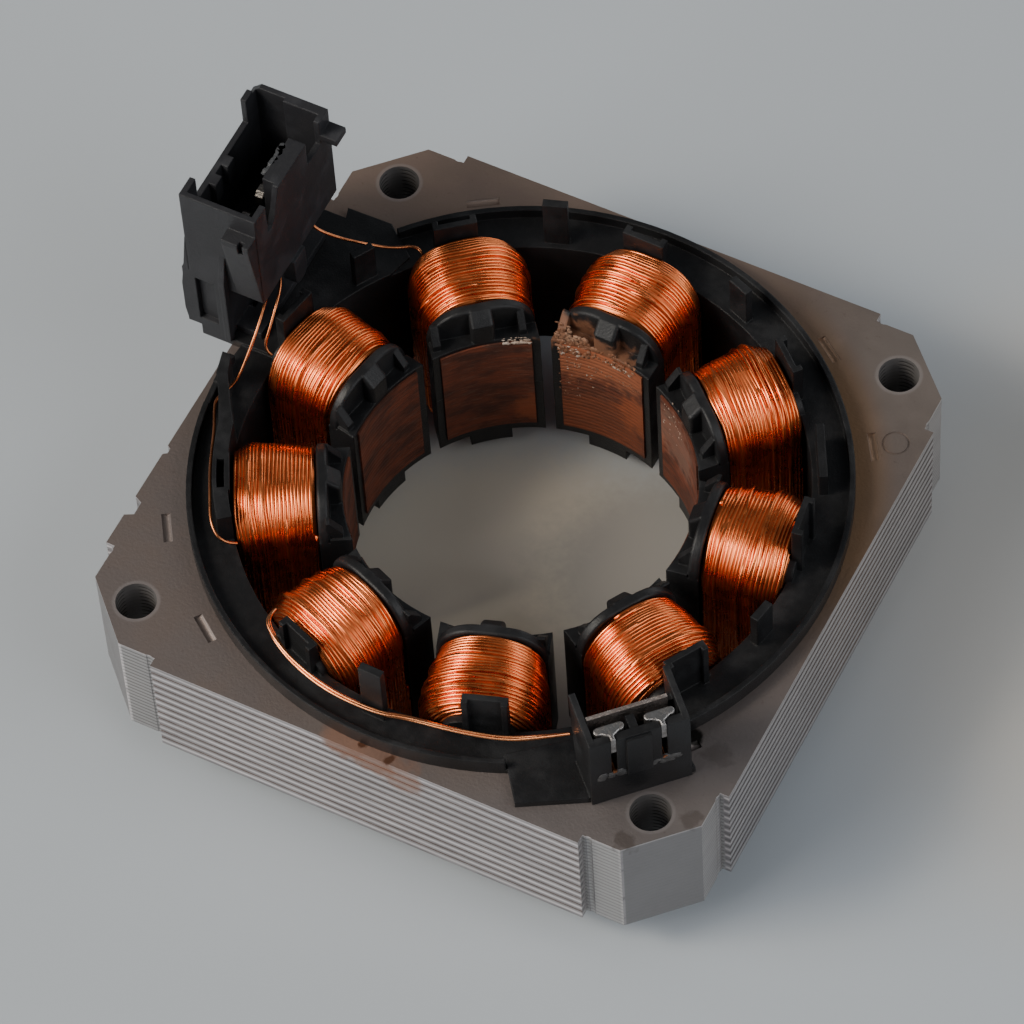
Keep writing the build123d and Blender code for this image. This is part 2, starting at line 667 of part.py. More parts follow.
with BuildPart() as pocket_link:
    slab(pocket_angle, (link_reach, link_reach + link_thickness), link_span,
         stack_height + link_low, stack_height + link_high)
finish(pocket_link.part, "pocket_link")


# Wires from the coils: straight runs joined by arcs
def round_point(radius, angle, rise):
    return Vector(*polar(radius, angle), stack_height + rise)


def square_point(x, y, rise):
    return Vector(x, y, stack_height + rise)


def coil_point(number, reach, side, rise):
    """A point in the frame of a coil: outwards, round the axis and up."""
    angle = tooth_angles[number - 1]
    outward = polar(reach, angle)
    across = polar(side, angle + 90)
    return Vector(outward[0] + across[0], outward[1] + across[1], stack_height + rise)


def bend_radii(points):
    """The largest arcs that share each run between its two bends."""
    radii = []
    for before, here, after in zip(points, points[1:], points[2:]):
        turn = (here - before).get_angle(after - here)
        shorter = min((here - before).length, (after - here).length)
        radii.append(arc_share * shorter / tan(radians(turn) / 2))
    return radii


def lead(points, radius, name):
    """A wire along a list of points."""
    radii = bend_radii(points)
    with BuildPart() as wire:
        with BuildLine() as route:
            FilletPolyline(*points, radius=radii)
        with BuildSketch(Plane(origin=route.line @ 0, z_dir=route.line % 0)) as section:
            Circle(radius)
        sweep(section.sketch, path=route.line)
    print(name, "bend radii", [round(value, 2) for value in radii])
    finish(wire.part, name)


contact_side = contact_x + contact_thickness / 2
lead_1_points = [coil_point(1, coil_outer_reach, 4.4, 2.6), coil_point(1, coil_outer_reach + 1.1, 4.5, 2.9),
                 round_point(32.2, 142.0, 3.2), round_point(33.5, 146.4, 4.2), square_point(-29.9, 16.8, 6.2),
                 square_point(-32.2, 15.4, 8.4), square_point(-34.0, contacts_y[2], 9.0),
                 square_point(contact_side, contacts_y[2], 9.0)]
lead_8_points = [round_point(coil_clear_radius, -139.2, 1.7), round_point(32.2, -138.9, 2.6),
                 round_point(33.0, -142.4, 3.5), round_point(32.65, -148.0, 4.0), round_point(32.62, -154.5, 3.9),
                 round_point(32.7, -160.0, 3.5), round_point(33.0, -164.5, 2.9), round_point(33.75, -169.0, 2.6),
                 round_point(33.95, -171.2, 2.7), round_point(32.5, -174.8, 3.2), square_point(-31.95, -0.9, 5.4),
                 square_point(-31.9, 3.0, 8.4), square_point(-33.4, contacts_y[0], 9.0),
                 square_point(contact_side, contacts_y[0], 9.0)]
lead_9_points = [coil_point(9, coil_outer_reach, 4.2, 3.4), coil_point(9, coil_outer_reach + 1.0, 4.4, 3.9),
                 square_point(-31.35, 3.4, 6.0), square_point(-31.9, 8.0, 9.0), square_point(-34.0, 9.3, 9.0),
                 square_point(-34.7, contacts_y[1], 9.0),
                 square_point(contact_side, contacts_y[1], 9.0)]
front_points = [coil_point(7, coil_outer_reach, -4.2, 3.9), coil_point(7, coil_outer_reach + 1.4, -4.1, 3.8),
                round_point(32.6, -115.0, 3.5), round_point(33.0, -108.5, 3.1), round_point(33.2, -99.5, 3.0),
                round_point(32.9, -89.3, 2.8), round_point(32.3, -84.8, 3.0), round_point(32.6, -75.0, 3.2),
                round_point(33.3, -66.0, 3.4), round_point(33.6, -60.5, 4.0), round_point(34.2, -54.4, 5.1)]

lead(lead_1_points, wire_radius, "lead_coil_1")
lead(lead_8_points, wire_radius, "lead_coil_8")
lead(lead_9_points, wire_radius, "lead_coil_9")
lead(front_points, bundle_radius, "lead_front")
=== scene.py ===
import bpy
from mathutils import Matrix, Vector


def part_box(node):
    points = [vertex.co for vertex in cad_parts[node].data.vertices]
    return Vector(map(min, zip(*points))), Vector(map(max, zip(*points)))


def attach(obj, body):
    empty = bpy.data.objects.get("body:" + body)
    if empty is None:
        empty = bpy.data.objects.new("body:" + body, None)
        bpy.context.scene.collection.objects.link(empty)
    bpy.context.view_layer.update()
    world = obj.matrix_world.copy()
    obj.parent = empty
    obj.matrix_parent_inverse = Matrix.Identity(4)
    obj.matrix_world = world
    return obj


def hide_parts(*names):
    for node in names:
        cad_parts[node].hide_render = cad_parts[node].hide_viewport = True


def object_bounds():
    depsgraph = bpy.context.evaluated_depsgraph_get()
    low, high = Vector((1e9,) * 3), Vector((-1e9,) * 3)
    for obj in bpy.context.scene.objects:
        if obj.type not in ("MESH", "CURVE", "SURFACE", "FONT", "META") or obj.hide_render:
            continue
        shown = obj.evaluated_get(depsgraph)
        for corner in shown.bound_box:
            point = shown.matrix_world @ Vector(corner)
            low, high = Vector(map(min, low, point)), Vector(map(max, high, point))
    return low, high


bl_info = {
    "name": "Wound stator finish",
    "version": (1, 0, 0),
    "blender": (4, 5, 0),
    "location": "View3D > Sidebar > Stator",
    "description": "Windings, leads, terminals, wear and finishes for a nine-pole wound stator",
    "category": "Object",
}

import random
from functools import partial
from math import atan, cos, pi, radians, sin, sqrt

import bmesh
import bpy
import numpy as np
from bpy.props import FloatProperty, FloatVectorProperty, IntProperty, PointerProperty
from mathutils import Matrix, Vector, noise

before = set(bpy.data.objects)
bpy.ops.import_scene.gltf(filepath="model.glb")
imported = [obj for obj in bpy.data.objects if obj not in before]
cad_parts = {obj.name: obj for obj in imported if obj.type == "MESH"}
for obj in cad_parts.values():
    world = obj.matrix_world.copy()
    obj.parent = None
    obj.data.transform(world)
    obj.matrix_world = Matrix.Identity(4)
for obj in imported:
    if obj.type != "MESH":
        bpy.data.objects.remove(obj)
cad_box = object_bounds()

MM = 0.001
UP = Vector((0, 0, 1))

# The stack, in millimetres
stack_low, stack_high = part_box("lamination_stack")
stack_height = (stack_high.z - stack_low.z) / MM
stack_middle = (stack_high.z + stack_low.z) / 2 / MM
sheet_count = 24
bore_radius = 18.65
frame_half_width = 35.37
hole_reach = 30.0
corner_cut = 6.2

# Poles
slot_count = 9
first_tooth_angle = 128.7
tooth_angles = [first_tooth_angle - 360 / slot_count * number for number in range(slot_count)]
ring_inner_radius = 30.7

# Outline of a coil, as the share of its length from the bore, its rise over the stack and its half width
coil_outline = ((0.0, 4.6, 5.75), (0.3, 5.05, 6.2), (0.78, 5.05, 6.65), (1.0, 4.2, 6.0))
coil_corner = 5.5
least_coil_corner = 0.6
sleeve_half_width = 3.95
sleeve_corner = 2.1
saddle_rise = 2.35

# Where the ring holds a coil's outer end back: the gap to it, and the half width over which the end follows it
ring_gap = 0.15
ring_follow = 8.0

# Steps round one turn: on each corner, on each upright side and on each short side
corner_steps = 10
side_steps = 8
short_steps = 2
wire_sides = 7

# The core under the turns: its depth, its distance from the coil's ends and the rings of points along it
core_depth = 0.17
core_inset = 0.12
core_rings = 7

# Layers that show at a coil's outer end, in wires, and strands that ride over their neighbours, in turns
layer_step_in_wires = 0.88
strand_drift = 2.6
untidy_coils = (3, 4, 6, 7)
untidy_strands = 5

# The leads
contact_side = -35.75
contact_rise = 9.0
contacts_y = (8.5, 12.46, 16.42)
lead_radius = 0.165
front_strand_radius = 0.17
front_strand_reach = 0.16
front_strands = 3

# The small pocket: its angle, and the T-shaped terminals' round ends, half stem, half web, taper and soft edge
pocket_angle = -44.9
round_end = 0.48
half_stem = 0.26
half_web = 1.0
web_taper = 0.45
soft_edge = 0.16

# Lumps of melted plastic at each wire end of the pocket, and the torn burr on the plug housing
scar_blobs = 13
burr_count = 14
burr_x = -33.98
burr_start = 10.2
burr_length = 3.6

# The floor's half size in metres, and the photograph's camera in millimetres, degrees and pixels
floor_half_size = 3.0
photo_pixels = 1024
focal_pixels = 6480.3
camera_place = (191.725, -328.873, 583.672)
camera_azimuth = 30.411
camera_elevation = 56.403
camera_roll = 4.3

# Painted light and shade on the floor: a warmer painted shade at the right, a lighter, warmer painted light in the
# bore and a darker painted shade at the bore's right, with their places and reach
painted_floor_light_and_shade = (((0.446, 0.435, 0.415), 71.0, 33.0, 52.0), ((0.55, 0.505, 0.425), -4.0, -2.0, 24.0),
               ((0.31, 0.3, 0.28), 13.5, 8.0, 17.0))


def polar(radius, angle):
    return (radius * cos(radians(angle)), radius * sin(radians(angle)))


def round_point(radius, angle, rise):
    """A point from its radius and angle about the bore and its rise over the stack, in millimetres."""
    return (*polar(radius, angle), stack_height + rise)


def round_points(*places):
    return [round_point(*place) for place in places]


def square_point(x, y, rise):
    return (x, y, stack_height + rise)


def directions(angle):
    """The directions outwards at an angle about the bore, and across."""
    return np.array((*polar(1, angle), 0.0)), np.array((*polar(1, angle + 90), 0.0))


def turned_point(angle, reach, side, level):
    """A point outwards at an angle about the bore, across from there and up."""
    outward = polar(reach, angle)
    across = polar(side, angle + 90)
    return (outward[0] + across[0], outward[1] + across[1], level)


def coil_point(number, reach, side, rise):
    return turned_point(tooth_angles[number - 1], reach, side, stack_height + rise)


def node_span(name, direction):
    """The lowest and highest place of a CAD node along a direction, in millimetres."""
    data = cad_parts[name].data
    places = np.empty(len(data.vertices) * 3, np.float32)
    data.vertices.foreach_get("co", places)
    along = places.reshape(-1, 3) @ np.array(direction, np.float32) / MM
    return float(along.min()), float(along.max())


def settings():
    return bpy.context.scene.stator_finish


def new_object(name, data):
    made = bpy.data.objects.new(name, data)
    bpy.context.scene.collection.objects.link(made)
    return made


def add_piece(name, data, replaced, material):
    """Link a piece in the row frame and join it to the frame's body."""
    piece = new_object(name, data)
    data.materials.append(material)
    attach(piece, "root")
    if replaced:
        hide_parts(*replaced)


def dress(material, *names):
    """Give CAD nodes their material."""
    for name in names:
        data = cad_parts[name].data
        data.materials.clear()
        data.materials.append(material)


def smooth_mesh(name, points, faces):
    """A smooth mesh from points in millimetres."""
    data = bpy.data.meshes.new(name)
    data.from_pydata((np.asarray(points, float) * MM).tolist(), [], faces)
    data.polygons.foreach_set("use_smooth", [True] * len(data.polygons))
    data.update()
    return data


def mesh_of(name, work):
    """The mesh of a bmesh, which is then freed."""
    data = bpy.data.meshes.new(name)
    work.to_mesh(data)
    work.free()
    return data


# Shader tools


def add_node(tree, kind, inputs=None, **options):
    """A shader node with its options and its inputs, each a value or a socket to link."""
    node = tree.nodes.new("ShaderNode" + kind)
    for name, value in options.items():
        setattr(node, name, value)
    for name, value in (inputs or {}).items():
        if isinstance(value, bpy.types.NodeSocket):
            tree.links.new(value, node.inputs[name])
        else:
            node.inputs[name].default_value = value
    return node


def calculate(operation, first, second=0.0):
    """A value from two others, of which one at least is a socket."""
    tree = (first if isinstance(first, bpy.types.NodeSocket) else second).id_data
    return add_node(tree, "Math", {0: first, 1: second}, operation=operation).outputs[0]


size_of, plus, less, times, greater = (
    partial(calculate, operation) for operation in ("ABSOLUTE", "ADD", "SUBTRACT", "MULTIPLY", "MAXIMUM"))


def rest(mask):
    """What a mask leaves out."""
    return less(1.0, mask)


def squares(first, second):
    """The sum of two squares."""
    return plus(calculate("POWER", first, 2.0), calculate("POWER", second, 2.0))


def spread(value, low, high, to_low=0.0, to_high=1.0, kind="SMOOTHSTEP"):
    """Bring a value from one range into another with a smooth start and end."""
    inputs = {"Value": value, "From Min": low, "From Max": high, "To Min": to_low, "To Max": to_high}
    return add_node(value.id_data, "MapRange", inputs, interpolation_type=kind).outputs["Result"]


def from_middle(count):
    """How far a count stands from the middle of its own step, between 0 and 0.5."""
    return size_of(less(less(count, calculate("FLOOR", count)), 0.5))


def blend_value(mask, first, second):
    """First value where the mask is 0, second where it is 1."""
    return spread(mask, 0.0, 1.0, first, second, "LINEAR")


def blend_colour(mask, first, second):
    """First colour where the mask is 0, second where it is 1."""
    node = add_node(mask.id_data, "Mix", {"Factor": mask}, data_type="RGBA")
    for socket, colour in zip((node.inputs[6], node.inputs[7]), (first, second)):
        if isinstance(colour, bpy.types.NodeSocket):
            mask.id_data.links.new(colour, socket)
        else:
            socket.default_value = (*colour[:3], 1)
    return node.outputs[2]


def cover(colour, *layers):
    """A colour with layers of others over it, each with a mask, a strength and its colour."""
    for mask, strength, layer in layers:
        colour = blend_colour(times(mask, strength), colour, layer)
    return colour


def place_in_mm(tree):
    """The place on the piece in the row frame, in millimetres."""
    place = add_node(tree, "TexCoord").outputs["Object"]
    return add_node(tree, "VectorMath", {0: place, "Scale": 1 / MM}, operation="SCALE").outputs[0]


def new_group(name, inputs):
    """An empty shader group with float or vector inputs, and a mask as its output."""
    group = bpy.data.node_groups.new(name, "ShaderNodeTree")
    for label, value in inputs.items():
        kind = "NodeSocketVector" if isinstance(value, tuple) else "NodeSocketFloat"
        group.interface.new_socket(label, in_out="INPUT", socket_type=kind).default_value = value
    group.interface.new_socket("Mask", in_out="OUTPUT", socket_type="NodeSocketFloat")
    return group, group.nodes.new("NodeGroupInput").outputs, group.nodes.new("NodeGroupOutput").inputs


def make_blotches():
    """Soft patches from noise, drawn out along the axes by a stretch."""
    group, given, result = new_group("blotches", {"Scale": 0.3, "Detail": 4.0, "Low": 0.4, "High": 0.6,
                                                  "Stretch": (1.0, 1.0, 1.0)})
    place = add_node(group, "VectorMath", {0: place_in_mm(group), 1: given["Stretch"]}, operation="MULTIPLY")
    patches = add_node(group, "TexNoise", {"Vector": place.outputs[0], "Scale": given["Scale"],
                                           "Detail": given["Detail"], "Roughness": 0.6})
    group.links.new(spread(patches.outputs[0], given["Low"], given["High"]), result["Mask"])


def make_spot():
    """A ragged patch round one point."""
    group, given, result = new_group("spot", {"Centre": (0.0, 0.0, 0.0), "Reach": 2.0, "Ragged": 1.0})
    place = place_in_mm(group)
    gap = add_node(group, "VectorMath", {0: place, 1: given["Centre"]}, operation="DISTANCE").outputs["Value"]
    wobble = add_node(group, "TexNoise", {"Vector": place, "Scale": 0.9, "Detail": 5.0}).outputs[0]
    shift = times(less(wobble, 0.5), given["Ragged"])
    gap = plus(gap, times(shift, 4.0))
    share = calculate("DIVIDE", gap, given["Reach"])
    group.links.new(spread(share, 1.1, 0.55), result["Mask"])


def make_dust():
    """Pale dust on what faces up."""
    group, given, result = new_group("dust", {"Amount": 0.5})
    normal = add_node(group, "TexCoord").outputs["Normal"]
    height = add_node(group, "SeparateXYZ", {0: normal}).outputs["Z"]
    grain = add_node(group, "TexNoise", {"Vector": place_in_mm(group), "Scale": 1.4, "Detail": 6.0,
                                         "Roughness": 0.7}).outputs[0]
    level = times(spread(height, 0.35, 0.95), spread(grain, 0.42, 0.68))
    group.links.new(times(level, given["Amount"]), result["Mask"])


def use_group(tree, name, **values):
    """The mask of a shared group, with this material's own values."""
    node = tree.nodes.new("ShaderNodeGroup")
    node.node_tree = bpy.data.node_groups[name]
    for label, value in values.items():
        node.inputs[label].default_value = value
    return node.outputs["Mask"]


def blotches(tree, scale, detail, low, high, stretch=(1.0, 1.0, 1.0)):
    return use_group(tree, "blotches", Scale=scale, Detail=detail, Low=low, High=high, Stretch=stretch)


def spot(tree, centre, reach, ragged):
    return use_group(tree, "spot", Centre=centre, Reach=reach, Ragged=ragged)


def new_material(name, **values):
    """A material with one principled shader and constants on its own sockets."""
    material = bpy.data.materials.new(name)
    material.use_nodes = True
    shader = material.node_tree.nodes["Principled BSDF"]
    for label, value in values.items():
        shader.inputs[label.replace("_", " ")].default_value = value
    return material, material.node_tree, shader


def feed(shader, **sockets):
    """Link sockets to the shader's inputs."""
    for label, socket in sockets.items():
        shader.id_data.links.new(socket, shader.inputs[label.replace("_", " ")])


def add_bump(shader, height, depth, edge_radius=0.0):
    """Fine relief from a height between 0 and 1, of a depth in millimetres, over edges that may look rounded."""
    inputs = {"Height": height, "Distance": depth * MM, "Strength": 1.0}
    if edge_radius:
        edges = add_node(shader.id_data, "Bevel", {"Radius": edge_radius * MM}, samples=4)
        inputs["Normal"] = edges.outputs["Normal"]
    feed(shader, Normal=add_node(shader.id_data, "Bump", inputs).outputs["Normal"])


def make_copper(name, bright, burnt):
    """Enamelled copper wire."""
    material, tree, shader = new_material(name, Metallic=1.0)
    patches = blotches(tree, 0.35, 4.0, 0.4, 0.7)
    colour = blend_colour(patches, bright, burnt)
    smears = blotches(tree, 0.5, 2.0, 0.34, 0.66)
    feed(shader, Base_Color=colour, Roughness=spread(smears, 0.0, 1.0, 0.25, 0.32))
    return material


def make_plastic(name, colour, wear_colour, dust_amount, marks=()):
    """Moulded black plastic, with rubbed patches, dust and marks."""
    material, tree, shader = new_material(name, Specular_IOR_Level=0.28)
    rubbed = blotches(tree, 0.22, 5.0, 0.42, 0.7)
    tint = blend_colour(rubbed, colour, wear_colour)
    for mark_colour, centre, reach, ragged in marks:
        tint = cover(tint, (spot(tree, centre, reach, ragged), 0.8, mark_colour))
    dust = use_group(tree, "dust", Amount=dust_amount)
    tint = blend_colour(dust, tint, (0.1, 0.095, 0.09))
    rough = plus(spread(rubbed, 0.0, 1.0, 0.38, 0.52), times(dust, 0.4))
    feed(shader, Base_Color=tint, Roughness=rough)
    add_bump(shader, blotches(tree, 5.0, 3.0, 0.3, 0.7), 0.012, 0.24)
    return material


# Tints of the steel that a user wouldn't change
# Darker on the sides that face along x, a painted shade, and duller off the lands; paler on the faces towards the
# front, a painted light
dull_and_shaded_edge = (0.315, 0.305, 0.3)
painted_front_light_edge = (0.46, 0.45, 0.445)
# Painted shade on the flanks of the ridges on the lands
shaded_ridge_flank = (0.22, 0.206, 0.21)
cut_corner = (0.235, 0.227, 0.23)
sheet_joint = (0.075, 0.068, 0.065)
hole_wall = (0.26, 0.245, 0.24)
hole_joint = (0.04, 0.035, 0.033)
# A painted highlight on the rims of the holes
hole_rim_highlight = (0.42, 0.39, 0.385)
# A painted shade at the back right of the upper sheet
plate_right_shade = (0.2, 0.14, 0.108)
plate_front = (0.235, 0.21, 0.205)
plate_outer = (0.225, 0.207, 0.196)
plate_by_ring = (0.268, 0.142, 0.055)
bare_pole = (0.17, 0.105, 0.075)


class SteelFace:
    """Which face of the stack a point is on, as masks, and how far it is from the holes and the cut corners."""

    def __init__(self, tree):
        place = add_node(tree, "SeparateXYZ", {0: place_in_mm(tree)})
        normal = add_node(tree, "SeparateXYZ", {0: add_node(tree, "TexCoord").outputs["Normal"]})
        self.x, self.y, self.level = (place.outputs[axis] for axis in "XYZ")
        across, depth = size_of(self.x), size_of(self.y)
        self.sideways = spread(size_of(normal.outputs["X"]), 0.75, 0.95)
        self.corner = spread(size_of(times(normal.outputs["X"], normal.outputs["Y"])), 0.3, 0.42)
        outmost = greater(across, depth)
        self.land = spread(outmost, frame_half_width + 0.2, frame_half_width + 0.5)
        self.off_land = rest(self.land)
        self.plain = times(self.off_land, blend_value(self.corner, 1.0, 0.1))
        self.from_hole = squares(less(across, hole_reach), less(depth, hole_reach))
        self.from_cut = squares(less(across, frame_half_width - corner_cut), less(depth, frame_half_width))
        self.reach = calculate("SQRT", squares(self.x, self.y))
        self.pole = spread(self.reach, bore_radius + 1.4, bore_radius + 0.9)
        self.hole = spread(self.from_hole, 7.5, 6.5)

        # The slopes of the stamped interlocks count as flat, because they look like the upper sheet
        corner_line = 2 * frame_half_width - corner_cut
        inside = spread(outmost, frame_half_width - 0.3, frame_half_width - 0.6)
        for mask in (spread(plus(across, depth), corner_line - 0.5, corner_line - 0.9),
                     rest(self.hole), spread(self.level, stack_height - 0.6, stack_height - 0.45)):
            inside = calculate("MINIMUM", inside, mask)
        flat = spread(size_of(normal.outputs["Z"]), 0.5, 0.8)
        self.flat = greater(flat, times(inside, 0.85))


def side_finish(tree, face, finish):
    """The colour of the cut edges of the sheets, and where they are sunk.

    The lands have a bright ridge on every second sheet, with a painted shade on its flanks and a dark joint between.
    Elsewhere each sheet shows.
    """
    count = times(face.level, sheet_count / 2 / stack_height)
    from_joint = from_middle(count)
    broken = blotches(tree, 0.5, 5.0, 0.3, 0.62, (0.5, 0.5, 3.0))
    marked = times(face.land, blend_value(broken, 0.7, 1.0))
    flank = times(spread(from_joint, 0.04, 0.27), marked)
    joint = times(spread(from_joint, 0.36, 0.5), marked)
    single = times(spread(from_middle(times(count, 2.0)), 0.22, 0.5), face.plain)
    line = greater(joint, single)

    sheet_place = {"X": times(face.x, 0.05), "Y": times(face.y, 0.05), "Z": times(count, 0.9)}
    sheet_place = add_node(tree, "CombineXYZ", sheet_place).outputs[0]
    sheet_tint = add_node(tree, "TexNoise", {"Vector": sheet_place, "Scale": 1.0, "Detail": 3.0}).outputs[0]
    # The faces towards the front get a painted light, stronger towards the right
    toward_front = times(face.plain, rest(face.sideways))
    toward_right = spread(face.x, -10.0, 20.0)
    # Bright nicks down the ends of the cut corners
    nicks = times(spread(face.from_cut, 0.11, 0.02), spread(sheet_tint, 0.36, 0.5))
    nicks = times(nicks, blend_value(single, 1.0, 0.4))
    top_edge = spread(face.level, stack_height - 0.3, stack_height - 0.1)
    edge = cover(finish.edge_colour,
                 (spread(sheet_tint, 0.35, 0.68), blend_value(face.corner, 0.8, 0.1), finish.edge_dark),
                 # Painted shade on the sides that face along x and a duller colour off the lands, then painted light
                 # on the front faces
                 (greater(times(face.sideways, 0.6), times(face.off_land, 0.8)), 1.0, dull_and_shaded_edge),
                 (toward_front, blend_value(toward_right, 0.5, 0.75), painted_front_light_edge),
                 # Painted shade on the flanks of the ridges
                 (flank, 0.85, shaded_ridge_flank),
                 (face.corner, 0.9, cut_corner),
                 (line, 0.36, sheet_joint),
                 (single, blend_value(toward_right, 0.45, 0.1), sheet_joint),
                 (nicks, blend_value(toward_right, 0.8, 0.25), finish.edge_colour),
                 (top_edge, 0.6, finish.edge_dark),
                 (face.hole, 0.92, blend_colour(single, hole_wall, hole_joint)))
    return edge, greater(line, times(flank, 0.5))


def plate_finish(tree, face, finish, patches):
    """The colour of the upper sheet, browner towards the back and, at the right, beside the ring, with a painted shade
    at the back right and a painted highlight round the holes.
    """
    back = spread(face.y, -12.0, 38.0)
    right = times(back, spread(face.x, 4.0, 30.0))
    outer = spread(face.reach, 35.8, 40.2)
    by_ring = times(rest(outer), times(spread(face.x, 8.0, 28.0), spread(face.y, -12.0, 8.0)))
    return cover(finish.plate_colour,
                 (patches, 1.0, finish.plate_dark),
                 (back, 0.75, finish.plate_back),
                 # Painted shade at the back right, eased back towards the plain sheet at the outer corners
                 (right, 0.8, plate_right_shade),
                 (times(right, outer), 0.6, plate_outer),
                 (by_ring, 0.6, plate_by_ring),
                 (spread(less(face.x, face.y), 34.0, 62.0), 0.6, plate_front),
                 # Painted highlight round the holes
                 (spread(face.from_hole, 7.2, 5.8), 0.3, hole_rim_highlight),
                 (blotches(tree, 1.6, 5.0, 0.62, 0.8), 0.3, finish.rust_dark))


def pole_finish(tree, finish):
    """The colour of the rusty faces of the poles."""
    patches = blotches(tree, 0.4, 6.0, 0.36, 0.66, (0.6, 0.6, 1.5))
    streaks = blotches(tree, 1.1, 4.0, 0.42, 0.68, (0.3, 0.3, 4.5))
    bare = blotches(tree, 2.0, 4.0, 0.54, 0.7, (0.25, 0.25, 3.2))
    return cover(finish.rust_colour, (patches, 1.0, finish.rust_dark), (streaks, 0.5, finish.rust_dark),
                 (bare, 0.4, bare_pole))


def make_steel(name):
    """Stamped electrical steel: satin upper sheet, striped sides and rusty pole faces."""
    finish = settings().steel
    material, tree, shader = new_material(name)
    face = SteelFace(tree)
    patches = blotches(tree, 0.12, 6.0, 0.38, 0.66)
    edge, sunk = side_finish(tree, face, finish)
    colour = blend_colour(face.flat, edge, plate_finish(tree, face, finish, patches))
    colour = blend_colour(face.pole, colour, pole_finish(tree, finish))
    for mark_colour, centre, reach, ragged, strength in steel_marks():
        colour = cover(colour, (spot(tree, centre, reach, ragged), strength, mark_colour))
    rough = plus(blend_value(face.pole, 0.46, 0.72), times(patches, 0.12))
    feed(shader, Base_Color=colour, Roughness=rough, Metallic=blend_value(face.pole, 0.8, 0.25))
    grain = times(blotches(tree, 3.0, 4.0, 0.3, 0.7), 0.18)
    ridges = times(rest(face.flat), rest(sunk))
    add_bump(shader, plus(ridges, grain), 0.06)
    return material


def steel_marks():
    """Stains on the stack and a painted shade in one dimple: each a colour, a centre, a reach and a raggedness in
    millimetres, and a strength.
    """
    tan = (0.33, 0.188, 0.135)
    speck = (0.1, 0.035, 0.015)
    smudge = (0.085, 0.065, 0.055)
    # A near-black painted shade for the dimple by the pocket
    dimple_shade = (0.008, 0.007, 0.006)
    orange = (0.33, 0.105, 0.046)
    sienna = (0.3, 0.075, 0.025)
    top = stack_height
    first, second, third = tooth_angles[:3]
    return (
        (tan, (-2.4, -35.6, top), 2.9, 0.6, 0.85),
        (tan, (1.1, -36.0, top - 0.5), 3.1, 0.6, 0.85),
        (tan, (4.4, -36.4, top - 1.8), 3.0, 0.6, 0.65),
        (speck, (-0.3, -35.5, top), 0.5, 0.3, 0.9),
        (speck, (2.9, -35.9, top), 0.6, 0.4, 0.8),
        (smudge, (29.1, -34.2, top), 1.3, 0.7, 0.5),
        (smudge, (34.0, -28.9, top), 1.1, 0.6, 0.5),
        (smudge, (33.2, -21.0, top), 1.6, 0.8, 0.3),
        # Painted shade in the dimple by the pocket
        (dimple_shade, (30.05, -19.98, top), 1.15, 0.3, 0.97),
        (sienna, (*polar(bore_radius, first - 14.5), 3.0), 2.6, 0.8, 0.6),
        (orange, (*polar(bore_radius, second + 9.0), top - 1.0), 5.2, 1.2, 0.8),
        (orange, (*polar(bore_radius, second - 6.0), top - 0.8), 4.4, 1.2, 0.7),
        (sienna, (*polar(bore_radius, second - 15.5), 7.0), 4.0, 1.2, 0.6),
        (sienna, (*polar(bore_radius, second + 2.0), 3.0), 6.5, 1.5, 0.35),
        (tan, (*polar(bore_radius, third + 6.0), top - 5.0), 5.0, 2.0, 0.3),
    )


def make_tin(name, bright, dull, roughness, relief):
    """Tin plate, from bright to dull."""
    material, tree, shader = new_material(name, Metallic=1.0)
    patches = blotches(tree, 1.3, 5.0, 0.4, 0.64)
    feed(shader, Base_Color=blend_colour(patches, bright, dull),
         Roughness=spread(patches, 0.0, 1.0, *roughness))
    add_bump(shader, blotches(tree, 4.0, 4.0, 0.3, 0.7), relief, 0.08)
    return material


# Windings


def turn_steps():
    """One turn round the pole: the sides of the corner's centre and the angle of the normal, step by step."""
    steps = []
    corners = ((1, 1, 90), (1, -1, 0), (-1, -1, -90), (-1, 1, 180))
    for number, (across, up, start) in enumerate(corners):
        for step in range(corner_steps):
            steps.append((across, up, start - 90 * step / corner_steps))
        next_across, next_up, _ = corners[(number + 1) % 4]
        count = side_steps if across == next_across else short_steps
        for step in range(count):
            share = step / count
            steps.append((across + (next_across - across) * share, up + (next_up - up) * share, start - 90))
    return np.array(steps, float)


def rounded_corner(way, half_width, half_height, corner):
    """The place of a step of the way round, on a rectangle with round corners."""
    across, up, angle = way
    x, z = polar(corner, angle)
    return across * (half_width - corner) + x, up * (half_height - corner) + z


def outline_at(share):
    """The rise and the half width of a coil at a share of its length, which is taken as between 0 and 1."""
    shares, rises, half_widths = zip(*coil_outline)
    return np.interp(share, shares, rises), np.interp(share, shares, half_widths)


